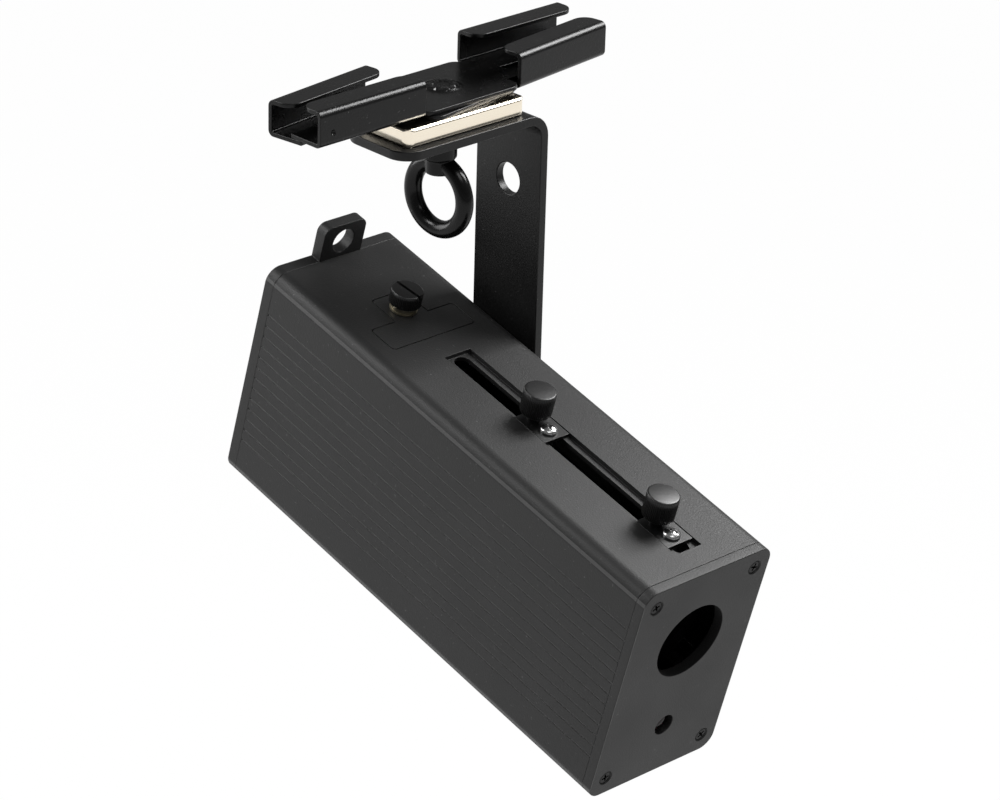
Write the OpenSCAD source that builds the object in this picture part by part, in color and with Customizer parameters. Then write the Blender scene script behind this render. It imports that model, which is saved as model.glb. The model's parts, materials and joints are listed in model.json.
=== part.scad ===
// Small gobo projector that hangs from a drop ceiling: a tilting rectangular housing on an L bracket
// with a magnet, and a scissor clip that the magnet holds. Origin: centre of the magnet's top face.
// X runs along the tilt axis, -Y is the side that the light leaves on, +Z is up.

/* [Housing] */
// Width of the housing across the tilt axis
body_w = 53; // [50:1:60]
// Height of the housing
body_h = 80; // [78:1:92]
// Length of the housing from front face to rear face
body_l = 178; // [178:1:200]
// Radius of the four long corners
body_r = 5; // [4:0.5:7]
// Wall of the extruded shell
wall = 3; // [2.5:0.1:3.4]
// Thickness of the front plate
plate_t = 3.5; // [3:0.1:4]
// Thickness of the rear plate
rear_plate_t = 4.2; // [3.5:0.1:5]
// Number of grooves on each side
groove_count = 13; // [5:1:15]
// Distance between two grooves
groove_pitch = 4.15; // [3:0.05:4.2]
// Width of a groove
groove_w = 0.6; // [0.4:0.1:1]
// Depth of a groove
groove_d = 0.35; // [0.2:0.05:0.6]
// Distance of a plate screw from the housing's side
screw_inset_x = 6; // [5.5:0.1:6.6]
// Distance of a plate screw from the housing's top or bottom
screw_inset_z = 6.5; // [6:0.1:7]
// Radius of a screw channel inside the shell
channel_r = 3.2; // [2.6:0.1:3.4]

/* [Tilt] */
// Tilt of the housing, nose down
tilt = 15.5; // [0:0.5:30]
// Distance of the tilt axis from the rear face
pivot_back = 63; // [60:1:66]
// Radius of the tilt stud
stud_r = 3; // [2.5:0.1:3.5]
// Thickness of the friction washer between bracket and housing
washer_t = 2; // [1:0.1:3]
// Radius of the friction washer
washer_r = 12; // [9:0.5:14]
// Radius of the tilt knob
tilt_knob_r = 12; // [10:0.5:14]
// Length of the tilt knob
tilt_knob_l = 14; // [12:0.5:20]
// Number of finger hollows around the tilt knob
tilt_knob_lobes = 7; // [5:1:10]

/* [Bracket] */
// Thickness of the bracket's steel
bracket_t = 3; // [2.5:0.1:4]
// Width of the bracket's strip
bracket_w = 29; // [26:1:34]
// Length of the flange over the housing, measured over the leg
flange_l = 59.05; // [56:0.05:64]
// Distance of the flange's free end from the magnet
flange_margin = 4.1; // [2:0.1:6]
// Radius of the flange's free corners
flange_r = 7; // [4:0.5:10]
// Inside radius of the bend
bend_r = 4.5; // [3:0.5:6]
// Drop from the flange's top face to the tilt axis
pivot_drop = 112.55; // [110:0.05:130]
// Radius of the clamp bolt hole in the leg
clamp_hole_r = 5.15; // [4.25:0.05:6.25]
// Drop from the flange's top face to the clamp bolt hole
clamp_hole_drop = 25.2; // [20:0.1:32]
// Length of the magnet
magnet_l = 48; // [40:0.1:52]
// Width of the magnet
magnet_w = 22.9; // [16:0.1:26]
// Thickness of the magnet
magnet_t = 5.8; // [4:0.1:8]
// Chamfer around the magnet
magnet_bevel = 0.6; // [0.3:0.1:1.2]

/* [Eye bolt] */
// Distance of the eye bolt from the middle of the magnet, along X
eye_x = -0.9; // [-6:0.1:4]
// Outer radius of the ring
eye_outer_r = 13.7; // [12:0.1:15]
// Radius of the bar that the ring is made of
eye_bar_r = 2.8; // [2:0.05:3.2]
// Distance of the ring's centre below the flange
eye_drop = 20.6; // [19:0.1:24]
// Radius of the collar
eye_collar_r = 5.4; // [5:0.1:7]
// Height of the collar
eye_collar_h = 8; // [6:0.1:9]
// Radius of the neck between the collar and the ring's opening
eye_neck_r = 4.4; // [3.2:0.1:4.8]
// Turn of the ring away from the YZ plane
eye_turn = 4; // [-30:1:30]
// Radius of the eye bolt's shank
eye_shank_r = 3; // [2.5:0.1:4]

/* [Ceiling clip] */
// Width of the closed clip over its walls
clip_w = 29.3; // [27:0.1:30]
// Length of an arm
clip_l = 123.9; // [110:0.1:140]
// Thickness of the clip's sheet
clip_t = 1.4; // [1:0.1:1.8]
// Height of a hook over its floor and lip
clip_h = 11.5; // [9:0.5:14]
// Length of a hook
clip_hook_l = 42; // [30:1:44]
// Width of a lip
clip_lip = 9.2; // [7:0.1:10]
// Outside radius of the sheet's bends
clip_bend_r = 2; // [1.9:0.1:2.4]
// Place of the rivet along X
clip_x = 5; // [-5:0.1:10]
// Place of the rivet along Y
clip_y = 6; // [-5:0.1:10]
// Turn of the lower arm
clip_lower_turn = 7.8; // [4:0.1:12]
// Turn of the upper arm
clip_upper_turn = 1; // [0:0.1:3.5]
// Radius of the rivet's shank
rivet_r = 3; // [2:0.1:4]
// Radius of the rivet's head
rivet_head_r = 6.6; // [5:0.1:8]

/* [Optics] */
// Distance of the optical axis below the housing's top
axis_drop = 27; // [27:0.5:29]
// Radius of the front aperture
aperture_r = 13; // [10:0.5:14]
// Outer radius of a lens barrel
barrel_r = 18; // [17:0.1:18.4]
// Length of a lens barrel
barrel_l = 20; // [16:0.5:20]
// Radius of a projection lens
lens_r = 15; // [14:0.1:15.4]
// Radius of a guide rod
rod_r = 2; // [1.5:0.1:2.2]
// Distance of a guide rod from the middle plane
rod_x = 17.5; // [16:0.1:17.8]
// Drop from the optical axis to the guide rods
rod_drop = 19; // [18.5:0.1:19.4]
// Radius of the beam hole in the gobo gate
gate_r = 11; // [8:0.5:11.5]
// Radius of the condenser lens
condenser_r = 13; // [11:0.1:13.2]

/* [Lens slot] */
// Distance of the slot's front end from the front face
slot_y = 10.8; // [10:0.1:11]
// Distance between the slot and the gobo holder's cap
slot_cap_gap = 10.1; // [9:0.1:12]
// Width of the slot's upper, wider part
slot_w = 10.7; // [8.5:0.1:11]
// Sideways place of the slot, from the middle plane towards the bracket's leg
slot_x = 0.7; // [0:0.1:1]
// Depth of the slot's upper part, down to the ledges
slot_recess = 1.5; // [1.3:0.1:1.8]
// Width of the slot between the ledges
slot_through_w = 5.8; // [5:0.1:7]
// Length of a slider plate
slider_l = 14.2; // [14:0.1:15]
// Thickness of a slider plate
slider_t = 1.3; // [1:0.1:1.3]
// Place of the front slider behind the front face
front_slider_y = 14.3; // [14:0.1:15.5]
// Place of the rear slider behind the front face
rear_slider_y = 69.8; // [68:0.1:74]
// Distance of the slider's screw behind its front edge
slider_screw_y = 3.9; // [3.4:0.1:4]
// Distance of the slider's knob behind its front edge
slider_knob_y = 10.9; // [10.6:0.1:11.2]
// Radius of a slider knob
knob_r = 5.15; // [4:0.05:5.2]
// Height of a slider knob's knurled head
knob_h = 8.2; // [5:0.1:10]
// Height of the neck under the knurled head
knob_neck_h = 2.6; // [2.6:0.1:6]
// Number of knurls around a knob
knurl_count = 30; // [16:1:40]

/* [Gobo holder] */
// Distance of the holder's cap from the rear face
cap_back = 51.1; // [50.9:0.1:51.5]
// Width of the cap's wide part
cap_w = 34; // [32:0.5:36]
// Length of the cap's wide part
cap_l = 11.3; // [10:0.1:11.5]
// Width of the cap's narrow part
cap_tail_w = 13.4; // [11:0.1:15]
// Length of the cap's narrow part
cap_tail_l = 12.4; // [11:0.1:14]
// Thickness of the cap
cap_t = 2; // [1.5:0.1:2]
// Width of the blade that carries the gobo
blade_w = 31; // [30:0.1:31.5]
// Thickness of the blade
blade_t = 2.6; // [2.2:0.1:3]
// Radius of the gobo disc
gobo_r = 13.4; // [12.5:0.1:13.6]
// Height of the thumbscrew's collar
collar_h = 2.4; // [2:0.1:5]
// Height of the thumbscrew's knurled head
thumb_h = 5.2; // [3:0.1:6]
// Radius of the thumbscrew's thread
thumb_thread_r = 2; // [1.5:0.1:2.5]

/* [Rear plate] */
// Width of the safety tab
tab_w = 17.2; // [14:0.1:22]
// Height of the safety tab over the housing
tab_h = 12.3; // [11:0.1:14]
// Radius of the tab's corners
tab_r = 3; // [2:0.5:5]
// Radius of the hole in the safety tab
tab_hole_r = 4.25; // [3.5:0.25:5]
// Height of the hole's centre over the housing's top
tab_hole_z = 5.7; // [5.5:0.1:6.5]
// Distance of the switch and the socket from the middle plane
rear_fitting_x = 11; // [9:0.5:12]
// Height of the switch and the socket over the housing's bottom
rear_fitting_z = 18; // [16:0.5:20]

/* [Hidden] */
$fn = 64;
eps = 0.01;
cut = 1;                 // how far a cutting solid runs past a face
seat = 0.05;             // gap of a close fit
slide_gap = 0.15;        // gap of a loose sliding fit
air = 0.3;               // gap between neighbours that only pass
stud_play = 0.25;        // gap around a stud in a clearance hole

// Bracket
flange_x0 = -magnet_l / 2 - flange_margin;
leg_x = flange_x0 + flange_l;                      // outer face of the leg
flange_z = -magnet_t;                              // top face of the flange
magnet_corner_r = 3;
pivot_z = flange_z - pivot_drop;
body_x = leg_x - bracket_t - washer_t - body_w / 2;
leg_end_r = bracket_w / 2;
eye_z = flange_z - bracket_t - eye_drop;
eye_ring_r = eye_outer_r - eye_bar_r;
eye_hole_r = eye_shank_r + seat;
bush_r = stud_r + 3;
knob_floor = 3;                                    // what the tilt knob keeps in front of the stud

// Ceiling clip
clip_half_gap = 1.5;                               // from an arm's middle line to its hook's floor
clip_neck_y = 8;                                   // how far a neck runs past the middle line

// Housing, in its own frame: X from the middle plane, Y behind the front face, Z from the tilt axis
top_z = body_h / 2;
pivot_y = body_l - pivot_back;
cap_y = body_l - cap_back;
slot_l = cap_y - slot_cap_gap - slot_y;
in_w = body_w - 2 * wall;
in_r = max(body_r - wall, 1);
in_top = top_z - wall;
in_bottom = -in_top;
axis_z = top_z - axis_drop;
shell_l = body_l - plate_t - rear_plate_t;
screw_x = body_w / 2 - screw_inset_x;
screw_z = body_h / 2 - screw_inset_z;
plate_screw_r = 1.25;
plate_screw_head_r = 2.35;
plate_screw_head_h = 1.3;
plate_screw_l = 10;
ir_r = 3.6;
ir_z = -20.6;
ir_recess = 1.2;

// Gobo gate and what lies behind it
gate_t = cap_l - 1.2;
gate_y = cap_y + 0.6;
gate_foot = 4;           // what the gate keeps under the guide rods
gate_bottom = axis_z - rod_drop - rod_r - gate_foot;
blade_y = gate_y + (gate_t - blade_t) / 2;
blade_bottom = axis_z - blade_w / 2;
cap_seat_z = top_z - cap_t;
thumb_y = cap_y + cap_l + 4.2;
thumb_r = 5.2;
collar_r = 4.5;
thumb_thread_l = 9;
block_l = 9;
block_w = 12;
block_h = 6;
block_y = max(thumb_y - block_l / 2, gate_y + gate_t + air);
condenser_y = gate_y + gate_t;
condenser_flange_r = condenser_r + 3.8;
condenser_tube_r = condenser_r + 2;
condenser_l = 12.4;
sink_base_t = 4;
sink_y = condenser_y + condenser_l + 4.5;
sink_l = body_l - rear_plate_t - 1.5 - sink_y;
sink_w = in_w - 2 * seat;
sink_drop = 22;          // from the optical axis to the heat sink's underside
sink_z0 = axis_z - sink_drop;
sink_fin_count = 11;
sink_fin_t = 1.5;
led_board_w = 26;
led_board_t = 1.6;

// Lens carriages
foot_h = 2 * (rod_r + 1.2);
foot_l = 8;
rod_z = axis_z - rod_drop;
rod_y0 = plate_t - 1.5;
rod_y1 = gate_y + 2;
slider_z = top_z - slot_recess;
slider_w = slot_w - 2 * slide_gap;
stem_w = slot_through_w - 2 * slide_gap;
stem_l = slider_l - 1.2;
slot_end_gap = 0.4;
lens_seat_r = lens_r - 1.4;
lens_edge = 3;
lens_bulge = 3;
lens_ball = (lens_r * lens_r + lens_bulge * lens_bulge) / (2 * lens_bulge);
lens_half = asin(lens_r / lens_ball);
lens_rise = lens_ball * (cos(asin(lens_seat_r / lens_ball)) - cos(lens_half)) + seat;
lens_shoulder = 5;       // from the barrel's front end to the lens's seat
condenser_sag = 6;
condenser_edge = 2.5;
lens_ring_t = 1.6;
slider_screw_r = 1.5;
slider_screw_head_r = 2.8;
slider_screw_head_h = 2;
slider_screw_l = 8;
knob_stud_r = 1.5;
knob_stud_l = 8;
knob_neck_r = 2.4;

// Battery and driver
cell_r = 9.2;
cell_l = 65;
cell_x = cell_r + 0.3;
tray_floor = 1.5;
tray_wall = 2;
tray_y = 10;
tray_pitch = cell_l + 2 * air + tray_wall;
tray_l = 2 * tray_pitch + tray_wall;
tray_w = in_w - 4.6;
tray_top = in_bottom + seat + tray_floor + 2 * cell_r + 2.6;
rail_w = 1.6;
rail_h = 3.5;
board_t = 1.6;
board_y = 34;
board_l = 84;
chip = tray_w / 6;        // unit of the blocks on the board: x, y, width, length, height
board_chips = [[-1.4, 1.2, 1.7, 1.4, 0.34], [0.6, 3.7, 1.1, 1.1, 0.26], [-1.7, 6.2, 1.3, 2, 0.28]];

// Rear fittings
fitting_z = -top_z + rear_fitting_z;
bezel_w = 10.5;
bezel_h = 15;
bezel_t = 2;
switch_w = 8.4;
switch_h = 13.4;
switch_depth = 12;
rocker_r = 6.2;
rocker_w = 6.6;
rocker_pin_r = 0.8;
rocker_lean = 10;
socket_r = 4;
socket_flange_r = 5.5;
socket_hole_r = 2.85;
socket_pin_r = 1.05;
indicator_r = 1.5;

// Points of an arc in the plane, from angle a0 to a1
function arc(cx, cy, r, a0, a1, n = 8) =
    [for (i = [0 : n]) [cx + r * cos(a0 + (a1 - a0) * i / n), cy + r * sin(a0 + (a1 - a0) * i / n)]];

// A rectangle with round corners, centred on the origin
module rounded_rect(w, h, r) {
    union() {
        square([w - 2 * r, h], center = true);
        square([w, h - 2 * r], center = true);
        for (sx = [-1, 1], sz = [-1, 1]) translate([sx * (w / 2 - r), sz * (h / 2 - r)]) circle(r);
    }
}

// A slot shape of width w and whole length l along Y, with round ends
module stadium(w, l) {
    union() {
        square([w, l - w], center = true);
        for (s = [-1, 1]) translate([0, s * (l - w) / 2]) circle(w / 2);
    }
}

// Puts children given in the housing's own frame into the model's frame
module in_body() {
    translate([body_x, 0, pivot_z]) rotate([tilt, 0, 0]) translate([0, -pivot_y, 0]) children();
}

// The shell's inside outline less a close fit, for what fills the shell's whole width
module inside_outline() {
    rounded_rect(in_w - 2 * seat, 2 * in_top - 2 * seat, in_r);
}

// Extrudes an outline drawn in X and Z along Y, from y0 over a length l
module along_y(y0, l) {
    translate([0, y0 + l, 0]) rotate([90, 0, 0]) linear_extrude(l) children();
}

// A cylinder along Y
module rod_y(r, y0, l, x = 0, z = 0) {
    translate([x, y0 + l, z]) rotate([90, 0, 0]) cylinder(r = r, h = l);
}

// A body of revolution about the optical axis; the outline is radius against distance along Y
module about_axis(y0, z = axis_z) {
    translate([0, y0, z]) rotate([-90, 0, 0]) rotate_extrude() children();
}

// The four places of the plate screws
module at_plate_screws() {
    for (sx = [-1, 1], sz = [-1, 1]) translate([sx * screw_x, 0, sz * screw_z]) children();
}

// A cross recess for a screwdriver, sunk from the plane z = 0
module cross_recess(size, depth) {
    for (a = [0, 90]) rotate([0, 0, a]) translate([-size / 2, -size * 0.12, -depth])
        cube([size, size * 0.24, depth + cut]);
}

// A knurled head standing on z = 0, with a screwdriver slot if slot_depth is above 0
module knurled_head(r, h, slot_depth = 0) {
    bevel = 0.5;
    difference() {
        rotate_extrude()
            polygon([[0, 0], [r - bevel, 0], [r, bevel], [r, h - bevel], [r - bevel, h], [0, h]]);
        for (i = [0 : knurl_count - 1]) rotate([0, 0, i * 360 / knurl_count])
            translate([r + 0.1, 0, bevel]) rotate([0, 0, 45]) cube([0.5, 0.5, 2 * h], center = true);
        if (slot_depth > 0) translate([-r - cut, -0.5, h - slot_depth])
            cube([2 * r + 2 * cut, 1, slot_depth + cut]);
    }
}

// The bracket: one bent steel strip with a flange on top and a leg on the far side
module bracket() {
    outer_r = bend_r + bracket_t;
    leg_h = pivot_drop;
    profile = concat(
        [[flange_x0, flange_z], [flange_x0, flange_z - bracket_t]],
        arc(leg_x - outer_r, flange_z - outer_r, bend_r, 90, 0),
        [[leg_x - bracket_t, flange_z - leg_h - leg_end_r], [leg_x, flange_z - leg_h - leg_end_r]],
        arc(leg_x - outer_r, flange_z - outer_r, outer_r, 0, 90));
    color([0.06, 0.06, 0.065]) difference() {
        intersection() {
            along_y(-bracket_w / 2, bracket_w) polygon(profile);
            union() {
                // The leg, with its round lower end
                translate([0, 0, pivot_z]) rotate([0, 90, 0])
                    cylinder(r = leg_end_r, h = leg_x + cut);
                translate([0, -bracket_w / 2 - cut, pivot_z])
                    cube([leg_x + cut, bracket_w + 2 * cut, pivot_drop - outer_r]);
                // The flange, with its two round corners
                translate([flange_x0 + flange_r, -bracket_w / 2 - cut, flange_z - outer_r - eps])
                    cube([flange_l, bracket_w + 2 * cut, outer_r + cut]);
                translate([flange_x0 - cut, -bracket_w / 2 + flange_r, flange_z - outer_r - eps])
                    cube([flange_r + 2 * cut, bracket_w - 2 * flange_r, outer_r + cut]);
                for (y = [-1, 1] * (bracket_w / 2 - flange_r))
                    translate([flange_x0 + flange_r, y, flange_z - outer_r - eps])
                        cylinder(r = flange_r, h = outer_r + cut);
            }
        }
        translate([leg_x - bracket_t - cut, 0, flange_z - clamp_hole_drop]) rotate([0, 90, 0])
            cylinder(r = clamp_hole_r, h = bracket_t + 2 * cut);
        translate([leg_x - bracket_t - cut, 0, pivot_z]) rotate([0, 90, 0])
            cylinder(r = stud_r + stud_play, h = bracket_t + 2 * cut);
        translate([eye_x, 0, flange_z - bracket_t - cut]) cylinder(r = eye_hole_r, h = bracket_t + 2 * cut);
    }
}

// The block magnet on the flange, bevelled all round its top and bottom
module magnet() {
    color([0.75, 0.72, 0.66]) intersection() {
        translate([-magnet_l / 2, -magnet_w / 2, -magnet_t]) cube([magnet_l, magnet_w, magnet_t]);
        translate([0, magnet_w / 2, 0]) rotate([90, 0, 0]) linear_extrude(magnet_w)
            polygon([[-magnet_l / 2, -magnet_t + magnet_bevel], [-magnet_l / 2 + magnet_bevel, -magnet_t],
                [magnet_l / 2 - magnet_bevel, -magnet_t], [magnet_l / 2, -magnet_t + magnet_bevel],
                [magnet_l / 2, -magnet_bevel], [magnet_l / 2 - magnet_bevel, 0],
                [-magnet_l / 2 + magnet_bevel, 0], [-magnet_l / 2, -magnet_bevel]]);
        translate([-magnet_l / 2, 0, 0]) rotate([90, 0, 90]) linear_extrude(magnet_l)
            polygon([[-magnet_w / 2, -magnet_t + magnet_bevel], [-magnet_w / 2 + magnet_bevel, -magnet_t],
                [magnet_w / 2 - magnet_bevel, -magnet_t], [magnet_w / 2, -magnet_t + magnet_bevel],
                [magnet_w / 2, -magnet_bevel], [magnet_w / 2 - magnet_bevel, 0],
                [-magnet_w / 2 + magnet_bevel, 0], [-magnet_w / 2, -magnet_bevel]]);
        translate([0, 0, -magnet_t]) linear_extrude(magnet_t) rounded_rect(magnet_l, magnet_w, magnet_corner_r);
    }
}

// The lifting eye under the flange: ring, collar and the shank in the flange
module eye_bolt() {
    flange_bottom = flange_z - bracket_t;
    inner_r = eye_outer_r - 2 * eye_bar_r;
    color([0.03, 0.03, 0.03]) translate([eye_x, 0, 0]) rotate([0, 0, eye_turn]) union() {
        translate([0, 0, eye_z]) rotate([0, 90, 0]) rotate_extrude()
            translate([eye_ring_r, 0]) circle(eye_bar_r);
        // Neck and collar
        translate([0, 0, eye_z]) rotate_extrude() polygon([[0, inner_r - 0.6],
            [eye_neck_r - 0.4, inner_r - 0.6], [eye_neck_r, inner_r - 0.2],
            [eye_neck_r, eye_drop - eye_collar_h - 0.5], [eye_collar_r - 0.3, eye_drop - eye_collar_h],
            [eye_collar_r, eye_drop - eye_collar_h + 0.3], [eye_collar_r, eye_drop], [0, eye_drop]]);
        translate([0, 0, flange_bottom - eps]) cylinder(r = eye_shank_r, h = bracket_t - seat);
    }
}

module at_pivot() {
    translate([leg_x, 0, pivot_z]) rotate([0, 90, 0]) children();
}

// The friction washer between the leg and the housing
module pivot_washer() {
    color([0.1, 0.1, 0.1]) at_pivot() translate([0, 0, -bracket_t - washer_t]) difference() {
        cylinder(r = washer_r, h = washer_t);
        translate([0, 0, -cut]) cylinder(r = stud_r + stud_play, h = washer_t + 2 * cut);
    }
}

// The hand knob on the leg's outer side
module tilt_knob() {
    collar_l = 2;
    lobe_r = 3;
    color([0.05, 0.05, 0.05]) at_pivot() difference() {
        union() {
            cylinder(r = tilt_knob_r * 0.62, h = collar_l);
            translate([0, 0, collar_l - eps]) difference() {
                rotate_extrude() polygon([[0, 0], [tilt_knob_r - 1, 0], [tilt_knob_r, 1],
                    [tilt_knob_r, tilt_knob_l - collar_l - 2], [tilt_knob_r - 2, tilt_knob_l - collar_l],
                    [0, tilt_knob_l - collar_l]]);
                for (i = [0 : tilt_knob_lobes - 1]) rotate([0, 0, i * 360 / tilt_knob_lobes])
                    translate([tilt_knob_r + lobe_r * 0.45, 0, -cut])
                        cylinder(r = lobe_r, h = tilt_knob_l + 2 * cut);
            }
        }
        translate([0, 0, -cut]) cylinder(r = stud_r + seat, h = tilt_knob_l - knob_floor + cut);
    }
}

// The threaded stud that the knob turns in the housing's bush
module tilt_stud() {
    stud_in = bracket_t + washer_t + wall + 1.8;
    color([0.6, 0.6, 0.62]) at_pivot() translate([0, 0, -stud_in])
        cylinder(r = stud_r, h = stud_in + tilt_knob_l - knob_floor - seat);
}

// The bush in the housing's side wall that the stud screws into
module tilt_bush() {
    flange_t = 2.1;
    color([0.7, 0.6, 0.35]) at_pivot() translate([0, 0, -bracket_t - washer_t - wall]) difference() {
        union() {
            cylinder(r = bush_r, h = wall);
            translate([0, 0, -flange_t]) cylinder(r = bush_r + 2, h = flange_t);
        }
        translate([0, 0, -flange_t - cut]) cylinder(r = stud_r + seat, h = wall + flange_t + 2 * cut);
    }
}

// The C profile of a hook, its wall at y = -clip_w / 2, its floor on z = 0
module hook_profile() {
    y0 = -clip_w / 2;
    ro = clip_bend_r;
    ri = ro - clip_t;
    polygon(concat(
        [[-clip_half_gap, clip_t], [-clip_half_gap, 0]],
        arc(y0 + ro, ro, ro, 270, 180),
        arc(y0 + ro, clip_h - ro, ro, 180, 90),
        [[y0 + clip_lip, clip_h], [y0 + clip_lip, clip_h - clip_t]],
        arc(y0 + ro, clip_h - ro, ri, 90, 180),
        arc(y0 + ro, ro, ri, 180, 270)));
}

// One hook with rounded lip corners, from x0 over its length along +X
module hook(x0) {
    corner = 4.5;
    y0 = -clip_w / 2;
    intersection() {
        translate([x0, 0, 0]) rotate([90, 0, 90]) linear_extrude(clip_hook_l) hook_profile();
        union() {
            translate([x0 - cut, y0 - cut, -cut])
                cube([clip_hook_l + 2 * cut, clip_lip - corner + cut, clip_h + 2 * cut]);
            translate([x0 + corner, y0 - cut, -cut])
                cube([clip_hook_l - 2 * corner, clip_w, clip_h + 2 * cut]);
            for (x = [x0 + corner, x0 + clip_hook_l - corner])
                translate([x, y0 + clip_lip - corner, -cut]) cylinder(r = corner, h = clip_h + 2 * cut);
            translate([x0 - cut, y0, -cut]) cube([clip_hook_l + 2 * cut, clip_w / 2, clip_h / 2]);
        }
    }
}

// One arm of the clip: a middle plate with a hook at each end, on opposite sides
module clip_arm() {
    plate_l = clip_l - 2 * clip_hook_l;
    neck_l = 6;
    union() {
        linear_extrude(clip_t) rounded_rect(plate_l, clip_w, 4);
        for (a = [0, 180]) rotate([0, 0, a]) {
            hook(-clip_l / 2);
            // The neck joins the hook's floor to the middle plate, and closes the gap between the arms
            translate([-plate_l / 2 - neck_l, -clip_w / 2 + clip_bend_r, 0])
                cube([2 * neck_l, clip_w / 2 - clip_bend_r + clip_neck_y, clip_t]);
        }
    }
}

module clip_lower_arm() {
    color([0.07, 0.07, 0.075]) translate([clip_x, clip_y, 0]) rotate([0, 0, clip_lower_turn]) difference() {
        mirror([0, 1, 0]) clip_arm();
        translate([0, 0, -cut]) cylinder(r = rivet_r + seat, h = clip_t + 2 * cut);
    }
}

module clip_upper_arm() {
    color([0.07, 0.07, 0.075]) translate([clip_x, clip_y, clip_t]) rotate([0, 0, clip_upper_turn])
    difference() {
        clip_arm();
        translate([0, 0, -cut]) cylinder(r = rivet_r + seat, h = clip_t + 2 * cut);
    }
}

// The staked rivet that the two arms turn on
module clip_rivet() {
    head_t = 0.9;
    cup_depth = 0.6;
    color([0.09, 0.09, 0.09]) translate([clip_x, clip_y, 0]) difference() {
        rotate_extrude() polygon([[0, 0], [rivet_r, 0], [rivet_r, 2 * clip_t], [rivet_head_r, 2 * clip_t],
            [rivet_head_r - 0.5, 2 * clip_t + head_t], [0, 2 * clip_t + head_t]]);
        translate([0, 0, 2 * clip_t + head_t - cup_depth])
            cylinder(r1 = rivet_r * 0.7, r2 = rivet_r + 0.6, h = cup_depth + eps);
        for (a = [45 : 90 : 315]) rotate([0, 0, a])
            translate([(rivet_r + rivet_head_r) / 2, 0, 2 * clip_t + head_t - cup_depth])
                cylinder(r = 0.6, h = cut);
    }
}

// Outline of the gobo holder's cap, seen from above, grown by g on every side
module cap_outline(g = 0) {
    r = 1.5;
    union() {
        translate([0, cap_y + cap_l / 2]) rounded_rect(cap_w + 2 * g, cap_l + 2 * g, r);
        translate([0, cap_y + cap_l / 2 + (cap_tail_l + cap_l) / 4 + cap_l / 4])
            rounded_rect(cap_tail_w + 2 * g, cap_tail_l + cap_l / 2 + 2 * g, r);
    }
}

// The extruded shell with its screw channels, grooves, slot and holder recess
module housing_shell() {
    cap_floor_w = blade_w + 2 * air;
    color([0.1, 0.1, 0.105]) in_body() difference() {
        union() {
            along_y(plate_t, shell_l) difference() {
                rounded_rect(body_w, body_h, body_r);
                rounded_rect(in_w, 2 * in_top, in_r);
            }
            at_plate_screws() rod_y(channel_r, plate_t, shell_l);
        }
        // Screw channels
        at_plate_screws() rod_y(plate_screw_r + seat, plate_t - cut, shell_l + 2 * cut);
        // Grooves
        for (i = [0 : groove_count - 1], s = [-1, 1])
            translate([s * body_w / 2, body_l / 2, (i - (groove_count - 1) / 2) * groove_pitch])
                cube([2 * groove_d, body_l, groove_w], center = true);
        // Lens slot: wide above the ledges, narrow between them
        translate([slot_x - slot_w / 2, slot_y, top_z - slot_recess]) cube([slot_w, slot_l, slot_recess + cut]);
        translate([slot_x, slot_y + slot_l / 2, in_top - cut]) linear_extrude(wall + 2 * cut)
            stadium(slot_through_w, slot_l - 2 * slot_end_gap);
        // Recess for the gobo holder's cap, and the way through for its blade and screw
        translate([0, 0, cap_seat_z]) linear_extrude(cap_t + cut) cap_outline(slide_gap);
        translate([-cap_floor_w / 2, blade_y - air, in_top - cut])
            cube([cap_floor_w, blade_t + 2 * air, wall + cut]);
        translate([0, thumb_y, in_top - cut]) cylinder(r = thumb_thread_r + stud_play, h = wall + 2 * cut);
        // Bush of the tilt axis
        translate([body_w / 2 - wall - cut, pivot_y, 0]) rotate([0, 90, 0])
            cylinder(r = bush_r + seat, h = wall + 2 * cut);
    }
}

// A plate screw, its head flush with the plane y = 0 and its shank along +Y
module plate_screw() {
    rotate([-90, 0, 0]) difference() {
        rotate_extrude() polygon([[0, 0], [plate_screw_head_r, 0], [plate_screw_head_r, 0.2],
            [plate_screw_r, plate_screw_head_h], [plate_screw_r, plate_screw_l], [0, plate_screw_l]]);
        mirror([0, 0, 1]) cross_recess(2.6, 0.9);
    }
}

// The sunk hole for a screw in a plate of thickness t
module plate_screw_hole(t) {
    rotate([-90, 0, 0]) rotate_extrude() polygon([[0, -cut], [plate_screw_head_r + seat, -cut],
        [plate_screw_head_r + seat, 0.2], [plate_screw_r + seat, plate_screw_head_h],
        [plate_screw_r + seat, t + cut], [0, t + cut]]);
}

module front_plate() {
    color([0.11, 0.11, 0.115]) in_body() difference() {
        along_y(0, plate_t) rounded_rect(body_w, body_h, body_r);
        rod_y(aperture_r, -cut, plate_t + 2 * cut, 0, axis_z);
        rod_y(ir_r, -cut, plate_t + 2 * cut, 0, ir_z);
        at_plate_screws() plate_screw_hole(plate_t);
        for (s = [-1, 1]) rod_y(rod_r + seat, rod_y0 - seat, plate_t, s * rod_x, rod_z);
    }
}

module front_plate_screws() {
    color([0.08, 0.08, 0.08]) in_body() at_plate_screws() plate_screw();
}

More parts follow.
